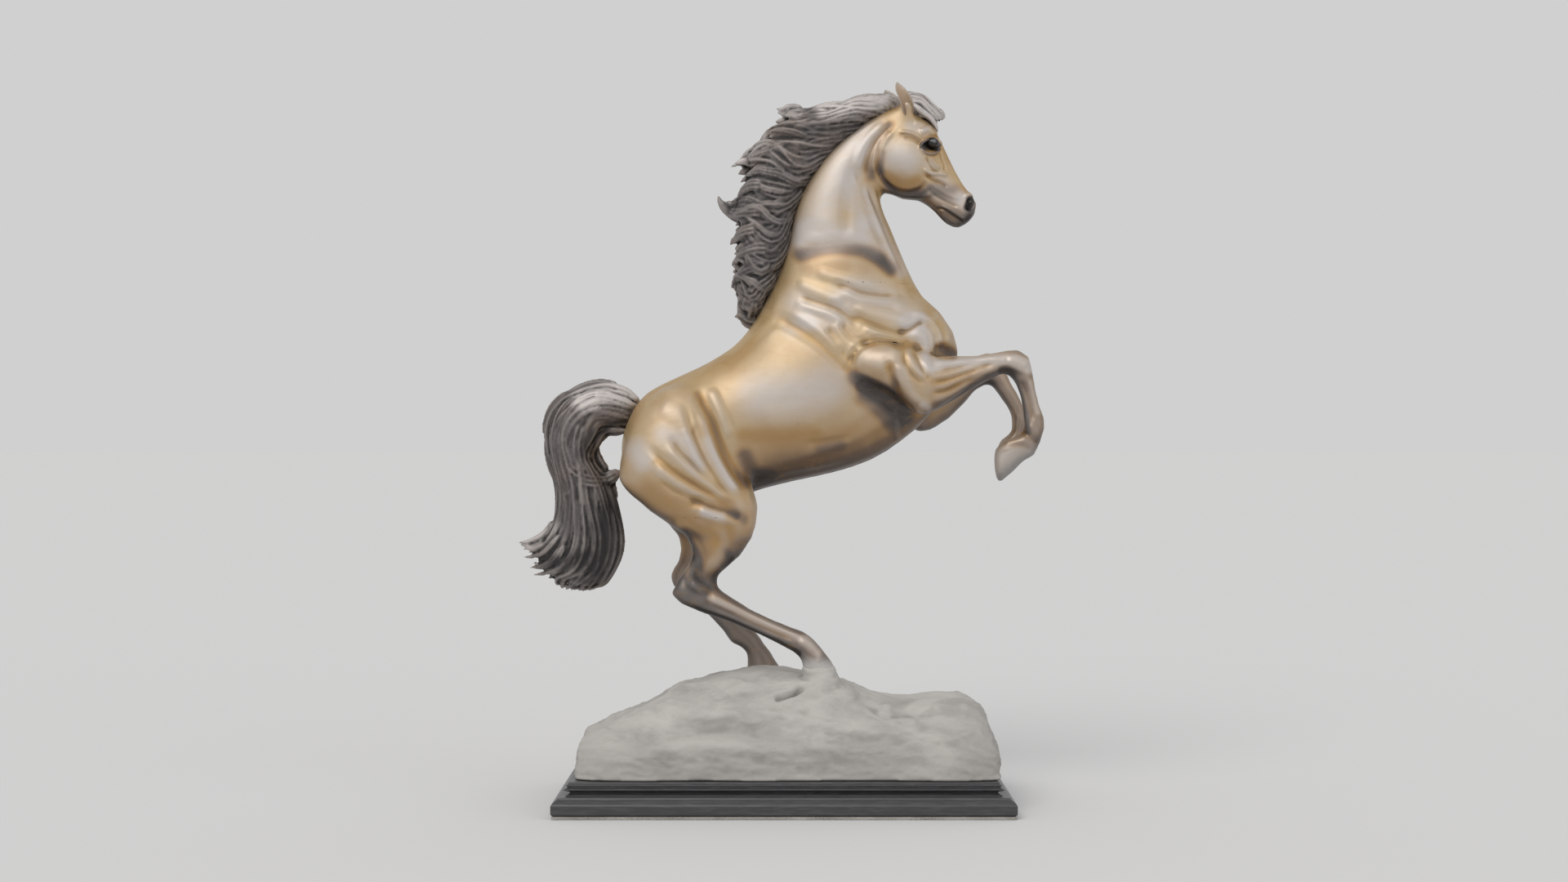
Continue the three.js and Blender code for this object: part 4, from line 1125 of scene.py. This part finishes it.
mane = {
    "voxel": 0.00088, "sink": 5.0, "steps": 30, "clumps": 30, "strands": 34, "middle": 40, "seed": 11,
    "clump": {"swing": (2.4, 5.0), "waves": (0.9, 1.6), "spans": [(0, 25), (0, 27), (0, 29)], "skip": 2,
              "sink": (1.6, 3.2), "width": (12, 17), "thick": (6.5, 8.5), "ridges": [11, 12, 13],
              "blunt": 0.08},
    "strand": {"swing": (3.0, 6.0), "waves": (1.0, 2.0), "starts": [0, 5, 9, 13], "ends": [24, 27, 30],
               "skip": 2, "sink": (-0.6, 1.0), "width": (4.5, 8), "thick": (4, 5.5), "ridges": [5, 6, 7],
               "blunt": 0.2},
    "inner": {"swing": (1.0, 2.5), "waves": (1.0, 2.0), "first": 8, "ends": [29], "skip": 2,
              "width": (8, 12), "thick": (6, 8), "ridges": 9, "blunt": 0.3},
    "tip": {"width": (11, 13), "thick": 7, "ridges": 10, "blunt": 0.15, "point": 1.7},
    "dust": [[1.1, 13, [(104, 580), (72, 584), (34, 579)]], [0.5, 10, [(10, 577), (-6, 575)]],
             [0.5, 12, [(-20, 552), (-42, 532)]]],
    "dark": [[0.6, 8, [(60, 562), (30, 560), (0, 556)]], [0.4, 9, [(10, 510), (0, 480), (-14, 440)]],
             [0.35, 12, [(-30, 446), (-34, 430)]]],
}
maneGuides = [
    [(97, 582), (72, 585), (45, 581), (22, 576), (6, 577), (-5, 576)],
    [(94, 576), (66, 577), (40, 570), (20, 567), (6, 570), (-5, 575)],
    [(76, 569), (52, 563), (30, 554), (8, 556), (-10, 558), (-20, 550)],
    [(64, 560), (42, 551), (20, 543), (2, 548), (-12, 552), (-22, 543)],
    [(52, 550), (33, 537), (14, 534), (-2, 541), (-16, 545), (-28, 540), (-37, 536)],
    [(43, 541), (26, 529), (8, 523), (-8, 530), (-22, 533), (-34, 534), (-43, 530)],
    [(34, 531), (20, 515), (6, 508), (-10, 514), (-22, 521), (-30, 516), (-37, 512)],
    [(24, 521), (12, 504), (-3, 497), (-16, 503), (-26, 508), (-34, 503), (-39, 498)],
    [(16, 509), (7, 493), (-8, 485), (-24, 488), (-38, 489), (-48, 494), (-54, 504)],
    [(10, 497), (2, 481), (-11, 474), (-24, 478), (-34, 484), (-42, 481)],
    [(7, 484), (-1, 468), (-12, 461), (-25, 464), (-34, 472), (-43, 470)],
    [(5, 470), (-4, 455), (-15, 447), (-27, 450), (-36, 457), (-43, 458)],
    [(0, 454), (-8, 441), (-19, 433), (-30, 436), (-38, 444), (-44, 443)],
    [(-5, 443), (-13, 428), (-24, 421), (-33, 425), (-40, 432), (-43, 428)],
    [(-11, 430), (-19, 417), (-27, 409), (-34, 412), (-37, 420)],
    [(-17, 416), (-22, 406), (-30, 401), (-41, 404)],
]
maneTips = [
    [(40, 576), (20, 574), (6, 576), (-7, 578)],
    [(44, 571), (22, 569), (6, 572), (-6, 575)],
    [(100, 580), (88, 583), (74, 586), (58, 584)],
    [(99, 576), (86, 579), (72, 580), (56, 577)],
    [(98, 572), (84, 574), (70, 574), (56, 570)],
    [(4, 548), (-14, 541), (-30, 536), (-45, 529)],
    [(-8, 491), (-26, 490), (-40, 490), (-48, 494), (-53, 500), (-55, 506)],
    [(-14, 420), (-25, 412), (-33, 407), (-42, 404)],
    [(-18, 412), (-26, 407), (-34, 404), (-41, 405)],
    [(-20, 476), (-32, 474), (-40, 470), (-45, 464)],
    [(-18, 446), (-30, 442), (-39, 436), (-44, 428)],
    [(-16, 512), (-28, 512), (-37, 506), (-40, 498)],
    [(-10, 460), (-26, 458), (-38, 453), (-44, 446)],
]


def makeMane():
    dice = random.Random(mane["seed"])
    tree = nodeTree("mane")
    guides = [curveThrough(guide, mane["steps"]) for guide in maneGuides]
    bm = bmesh.new()
    for side in (right, left):
        coverSide(bm, dice, tree, side, mane, guides, maneTips)
    for number in range(mane["middle"]):
        route = between(guides, (number + 0.5) / mane["middle"] * (len(guides) - 1.001))
        growInner(bm, dice, route, mane["inner"], mane["steps"])
    return hairMass("horse_mane", "mane", bm, mane)


dress(makeMane(), "dark_bronze", "mane")

tail = {
    "voxel": 0.0009, "sink": 3.2, "steps": 60, "clumps": 20, "strands": 40, "middle": 16, "seed": 5,
    "clump": {"swing": (1.2, 2.6), "waves": (1.4, 2.6), "spans": [(0, 60), (0, 44), (14, 60)], "skip": 3,
              "sink": (1.6, 3.0), "width": (10, 14), "thick": (6.5, 8.5), "ridges": [9, 10, 11],
              "blunt": 0.06},
    "strand": {"swing": (2.0, 4.6), "waves": (1.5, 3.0), "skip": 2,
               "spans": [(0, 30), (6, 40), (14, 48), (24, 60), (34, 60)],
               "sink": (-0.4, 1.2), "width": (4, 7.5), "thick": (4, 5.5), "ridges": [5, 6, 7], "blunt": 0.12},
    "inner": {"swing": (0.6, 1.8), "waves": (1.5, 3.0), "first": 0, "ends": [50, 55, 59], "skip": 3,
              "width": (5, 8), "thick": (5, 7), "ridges": 7, "blunt": 0.06},
    "tip": {"width": (7, 9), "thick": 6, "ridges": 7, "blunt": 0.2, "point": 1.8},
    "wisp": {"width": 11, "thick": 8, "ridges": 9, "blunt": 0.3, "point": 6},
    "dust": [[1.2, 14, [(-116, 332), (-140, 341), (-168, 335)]], [0.45, 10, [(-192, 228), (-214, 214)]]],
    "dark": [[1.0, 20, [(-150, 240), (-150, 214), (-158, 192)]], [0.95, 11, [(-166, 204), (-204, 198)]],
             [0.7, 8, [(-136, 318), (-156, 306), (-168, 290)]]],
}
tailGuides = [
    [(-120, 335), (-139, 344), (-155, 346), (-173, 340), (-188, 327), (-195, 306), (-193, 283), (-188, 263),
     (-188, 244), (-192, 230), (-201, 218), (-211, 214), (-221, 215)],
    [(-121, 331), (-140, 338), (-155, 340), (-170, 334), (-182, 321), (-188, 303), (-186, 282), (-181, 262),
     (-180, 244), (-183, 228), (-191, 213), (-203, 206), (-216, 204)],
    [(-122, 327), (-141, 332), (-155, 333), (-167, 327), (-176, 315), (-181, 299), (-179, 281), (-174, 262),
     (-172, 243), (-173, 225), (-179, 208), (-191, 196), (-209, 193)],
    [(-124, 322), (-142, 326), (-154, 326), (-164, 320), (-171, 309), (-175, 295), (-172, 280), (-167, 262),
     (-164, 243), (-163, 224), (-167, 205), (-176, 192), (-187, 186), (-186, 177)],
    [(-126, 317), (-143, 320), (-153, 319), (-161, 312), (-167, 302), (-168, 291), (-165, 279), (-159, 261),
     (-155, 242), (-152, 223), (-154, 204), (-162, 190), (-174, 183), (-181, 176)],
    [(-128, 313), (-144, 314), (-152, 313), (-158, 306), (-162, 297), (-163, 288), (-158, 278), (-151, 261),
     (-147, 242), (-143, 222), (-144, 204), (-151, 190), (-160, 180), (-170, 175)],
    [(-130, 309), (-144, 311), (-151, 309), (-156, 302), (-160, 293), (-159, 283), (-153, 273), (-146, 259),
     (-140, 240), (-136, 220), (-138, 203), (-145, 188), (-152, 180), (-161, 178)],
]
tailWisps = [
    [(-184, 300), (-180, 284), (-170, 273), (-157, 268), (-146, 270), (-136, 277)],
    [(-178, 278), (-168, 268), (-157, 265), (-146, 268), (-136, 275)],
    [(-136, 277), (-144, 271), (-152, 268), (-164, 272)],
    [(-136, 273), (-143, 270), (-150, 265), (-158, 256)],
]
tailTips = [
    [(-168, 264), (-178, 259), (-186, 255), (-192, 252)],
    [(-190, 232), (-200, 222), (-211, 217), (-222, 216)],
    [(-186, 224), (-196, 212), (-206, 205), (-218, 204)],
    [(-182, 216), (-190, 203), (-200, 197), (-213, 195)],
    [(-178, 206), (-186, 196), (-196, 191), (-210, 189)],
    [(-170, 214), (-176, 198), (-182, 189), (-189, 182)],
    [(-162, 206), (-167, 192), (-174, 183), (-183, 176)],
    [(-152, 208), (-156, 194), (-163, 183), (-172, 175)],
    [(-146, 204), (-148, 192), (-154, 184), (-162, 185)],
]


def makeTail():
    dice = random.Random(tail["seed"])
    tree = nodeTree("tail")
    guides = [curveThrough(guide, tail["steps"]) for guide in tailGuides]
    bm = bmesh.new()
    for side in (right, left):
        coverSide(bm, dice, tree, side, tail, guides, tailTips)
        for wisp in tailWisps:
            centres, outwards = drape(curveThrough(wisp, 30), tree, side, 1.5)
            addLock(bm, centres, outwards, phase=0, **tail["wisp"])
    for number in range(tail["middle"]):
        route = between(guides, (0, len(guides) - 1.001)[number % 2])
        growInner(bm, dice, route, tail["inner"], tail["steps"])
    return hairMass("horse_tail", "tail", bm, tail)


dress(makeTail(), "dark_bronze", "tail")

forelock = {"voxel": 0.0006, "sink": 3.2, "locks": 22, "steps": 24, "seed": 3,
            "lock": {"swing": (1.0, 2.8), "waves": (1, 2), "sink": (-0.2, 2.2), "width": (3.2, 5.4),
                     "thick": (2.8, 4.0), "ridges": [5, 6, 7], "blunt": 0.12},
            "fringe": (-10, -6, -2, 2, 6, 10),
            "hanging": {"width": 5.5, "thick": 4.5, "ridges": 6, "blunt": 0.2, "point": 1.8},
            "dust": [[1.0, 34, [(96, 582), (132, 572)]]], "dark": []}
forelockGuides = [
    [(93, 583), (103, 590), (114, 588), (124, 581), (132, 575), (134, 570)],
    [(95, 580), (105, 586), (114, 583), (122, 577), (129, 571), (131, 567)],
    [(97, 577), (106, 580), (113, 577), (119, 572), (125, 567)],
    [(99, 573), (106, 573), (113, 570), (119, 566), (125, 563)],
    [(100, 569), (106, 568), (112, 565), (118, 561), (122, 560)],
]

browLock = [(104, 582), (114, 576), (121, 569), (126, 562), (128, 557)]


def makeForelock():
    dice = random.Random(forelock["seed"])
    tree = nodeTree("forelock")
    guides = [curveThrough(guide, forelock["steps"]) for guide in forelockGuides]
    bm = bmesh.new()
    for side in (right, left):
        for number in range(forelock["locks"]):
            route = between(guides, dice.random() * (len(guides) - 1.001))
            growLock(bm, dice, route, tree, side, forelock["lock"], forelock["steps"])
    for y in forelock["fringe"]:
        route = waved(curveThrough(browLock, forelock["steps"]), 1.0, 1.2, dice.random())
        centres, outwards = upright(route, y)
        addLock(bm, centres, outwards, phase=dice.uniform(0, 6), **forelock["hanging"])
    return hairMass("horse_forelock", "forelock", bm, forelock)


dress(makeForelock(), "dark_bronze", "forelock")

rock = {"relief": 1.3, "voxel": 0.0017, "rounds": 6, "creep": 1.3,
        "reliefs": {"broad": (50, 0.002), "fine": (6, 0.0004)}}
rockGrain = {"coarse": (22, 1.9), "chipped": (55, 1.1), "grit": (420, 0.3)}  # cells in a metre, height in mm
hoofHeights = {"right_hindleg": 116, "left_hindleg": 109}    # how high the stone creeps over each hoof, in mm
rockStrokes = [
    # ridge line on the right with its facet and lump
    [2.0, 9, [(58, 86), (80, 83), (115, 82), (160, 83)]],
    [3.6, 9, [(152, 82), (166, 79)]],
    [-2.8, 10, [(88, 77), (104, 75), (126, 77)]],
    [2.8, 9, [(92, 66), (105, 64)]],
    [2.2, 8, [(46, 98), (58, 80), (74, 68), (100, 58)]],
    [-2.2, 9, [(62, 94), (72, 84), (82, 76)]],
    [-1.8, 10, [(110, 66), (135, 62), (160, 68)]],
    # shoulders and hollows of the left half
    [2.0, 14, [(-140, 66), (-110, 74), (-70, 76), (-30, 72)]],
    [-2.2, 13, [(-150, 52), (-110, 56), (-60, 60), (-10, 56)]],
    [1.8, 12, [(-100, 42), (-40, 46), (10, 40), (60, 46)]],
    [-1.6, 10, [(-60, 92), (-30, 90), (0, 80), (30, 74)]],
    [-1.5, 9, [(20, 60), (60, 50), (110, 46), (160, 50)]],
    # the cut under the near heel
    [-5.0, 3.6, [(-8, 87.5), (0, 89), (10, 92), (17, 97)], right],
]


def makeRock():
    bm = nodesAsBmesh(["rock"])
    for node, height in hoofHeights.items():
        hoof = nodesAsBmesh([node])
        geometry = hoof.verts[:] + hoof.edges[:] + hoof.faces[:]
        cut = bmesh.ops.bisect_plane(hoof, geom=geometry, plane_co=place(0, height), plane_no=(0, 0, 1),
                                     clear_outer=True)["geom_cut"]
        rims = [part for part in cut if isinstance(part, bmesh.types.BMEdge)]
        bmesh.ops.holes_fill(hoof, edges=rims, sides=0)
        bmesh.ops.recalc_face_normals(hoof, faces=hoof.faces)
        hoof.normal_update()
        for vert in hoof.verts:
            vert.co += vert.normal * rock["creep"] * mm
        mesh = bpy.data.meshes.new("hoof")
        hoof.to_mesh(mesh)
        hoof.free()
        bm.from_mesh(mesh)
        bpy.data.meshes.remove(mesh)
    piece = finishBmesh("rock_block", bm)
    remeshed(piece, rock["voxel"])
    keepLargest(piece)
    stone = Clay(piece)
    foot = stone.points[:, 2].min()
    stone.smooth(rock["rounds"], keepVolume=False)
    stone.smooth(rock["rounds"] * 2)
    height = Strokes(stone).total(rockStrokes) * rock["relief"]
    cells, depths = zip(*rockGrain.values())
    layered = []
    for x, y, z in stone.points:
        spot = Vector((x, y, z * 2.2 + x * 0.25))     # the beds lie flat, dipping a little to one end
        coarse = noise.fractal(spot * cells[0], 1.0, 2.1, 3)
        chipped = noise.ridged_multi_fractal(spot * cells[1], 0.9, 2.2, 4, 0.9, 2.0) - 1.2
        grit = noise.fractal(spot * cells[2], 0.8, 2.2, 3)
        layered.append(coarse * depths[0] + chipped * depths[1] + grit * depths[2])
    standing = softStep(0, 5 * mm, stone.points[:, 2] - foot)
    stone.points += stone.normals() * ((height + np.array(layered)) * standing * mm)[:, None]
    stone.points[:, 2] = np.maximum(stone.points[:, 2], foot)
    stone.reliefs(rock["reliefs"])
    stone.attribute("low", softStep(0.085, 0.03, stone.points[:, 2]))
    stone.store()
    shadeSmooth(piece)
    return piece


dress(makeRock(), "stone", "rock")
print("rock made")


def steppedBlock(name, halfLength, halfDepth, profile, corner):
    # a rectangular block whose sides follow a profile of (inset, height) in metres, mitred at the corners
    bm = bmesh.new()
    bmesh.ops.create_grid(bm, x_segments=1, y_segments=1, size=1)
    bmesh.ops.reverse_faces(bm, faces=bm.faces)
    inset, height = profile[0]
    bmesh.ops.scale(bm, vec=(halfLength - inset, halfDepth - inset, 1), verts=bm.verts)
    bmesh.ops.translate(bm, vec=(0, 0, height), verts=bm.verts)
    bm.faces.ensure_lookup_table()
    top = bm.faces[0]
    for nextInset, nextHeight in profile[1:]:
        grown = bmesh.ops.extrude_face_region(bm, geom=[top])
        top = [part for part in grown["geom"] if isinstance(part, bmesh.types.BMFace)][0]
        shrink = [(half - nextInset) / (half - inset) for half in (halfLength, halfDepth)]
        bmesh.ops.scale(bm, vec=(*shrink, 1), verts=top.verts)
        bmesh.ops.translate(bm, vec=(0, 0, nextHeight - height), verts=top.verts)
        inset, height = nextInset, nextHeight
    bmesh.ops.recalc_face_normals(bm, faces=bm.faces)
    corners = []
    for edge in bm.edges:
        run = edge.verts[0].co - edge.verts[1].co
        if abs(run.x) < 0.02 and abs(run.z) > 1e-6:
            corners.append(edge)
    bmesh.ops.bevel(bm, geom=corners, offset=corner, offset_type="OFFSET", segments=3, profile=0.5,
                    affect="EDGES", material=-1)
    return finishBmesh(name, bm)


def roundTo(start, end, bulge, count):
    # points of a rounded step between two (inset, height) corners; bulge pushes its middle outwards
    points = []
    for k in range(1, count + 1):
        share = k / count
        push = bulge * math.sin(math.pi * share)
        points.append((start[0] + (end[0] - start[0]) * share - push, start[1] + (end[1] - start[1]) * share))
    return points


def paintEdgeHighlights(piece):
    # marks the outward ridges of the profile, where highlight lines are painted on the black
    bm = bmesh.new()
    bm.from_mesh(piece.data)
    edgeHighlight = bm.verts.layers.float.new("edgeHighlight")
    for vert in bm.verts:
        ridges = [edge.calc_face_angle_signed(0) for edge in vert.link_edges if edge.calc_length() > 0.05]
        vert[edgeHighlight] = min(1, max([0] + ridges) / 0.9)
    bm.to_mesh(piece.data)
    bm.free()


plinth = {"corner": 0.0008, "foot": 0.0016}


def makeSlab():
    low, high = (Vector(corner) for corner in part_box("plinth_slab"))
    tall = high.z - low.z
    profile = [(0.002, low.z), (0.0006, low.z + 0.0006), (0, low.z + plinth["foot"])]
    profile += [(0, low.z + tall * 0.52)]
    profile += roundTo(profile[-1], (0.0018, low.z + tall * 0.74), 0.0005, 6)
    profile += roundTo(profile[-1], (0.0050, low.z + tall * 0.92), 0.0002, 4)
    profile += [(0.0054, high.z - 0.0002), (0.0062, high.z)]
    return steppedBlock("plinth_slab_block", high.x, high.y, profile, plinth["corner"])


def makeMoulding():
    low, high = (Vector(corner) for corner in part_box("plinth_moulding"))
    tall = high.z - low.z

    def level(share):
        return low.z + tall * share

    profile = [(0.0022, low.z), (0.0022, level(0.06)), (0.0040, level(0.12)), (0.0052, level(0.22))]
    profile += [(0.0048, level(0.30)), (0.0030, level(0.36))]
    profile += roundTo(profile[-1], (0.0030, level(0.60)), 0.0026, 8)
    profile += [(0.0034, level(0.63)), (0.0034, level(0.68))]
    profile += roundTo(profile[-1], (0.0036, level(0.86)), 0.0012, 6)
    profile += [(0.0040, level(0.89)), (0.0040, level(0.93)), (0.0046, high.z - 0.0001), (0.0050, high.z)]
    return steppedBlock("plinth_bead_moulding", high.x, high.y, profile, plinth["corner"])


for piece, node in ((makeSlab(), "plinth_slab"), (makeMoulding(), "plinth_moulding")):
    paintEdgeHighlights(piece)
    dress(piece, "ebonised_wood", node)
print("plinth made")

pad = {"fluff": 0.00025, "fibres": 260, "edge": 0.0006, "cuts": 60}


def makePad():
    low, high = (Vector(corner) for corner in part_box("base_pad"))
    bm = bmesh.new()
    bmesh.ops.create_cube(bm, size=1)
    bmesh.ops.scale(bm, vec=high - low, verts=bm.verts)
    bmesh.ops.translate(bm, vec=(low + high) / 2, verts=bm.verts)
    bmesh.ops.bevel(bm, geom=bm.edges[:], offset=pad["edge"], offset_type="OFFSET", segments=2, profile=0.5,
                    affect="EDGES", material=-1)
    sides = [edge for edge in bm.edges if edge.calc_length() > 0.05]
    bmesh.ops.subdivide_edges(bm, edges=sides, cuts=pad["cuts"], use_grid_fill=True)
    for vert in bm.verts:
        if low.z + 0.0001 < vert.co.z < high.z - 0.0001:
            vert.co += vert.normal * noise.noise(vert.co * pad["fibres"]) * pad["fluff"]
    return finishBmesh("felt_pad", bm)


feltPad = makePad()
dress(feltPad, "felt", "base_pad")
print("felt pad made")

slotOf = {row["node"]: row["material_slot"] for row in frame["record"]["subparts"]}
for name, node in nodes.items():
    node.data.materials.clear()
    node.data.materials.append(finish[slotOf[name]])
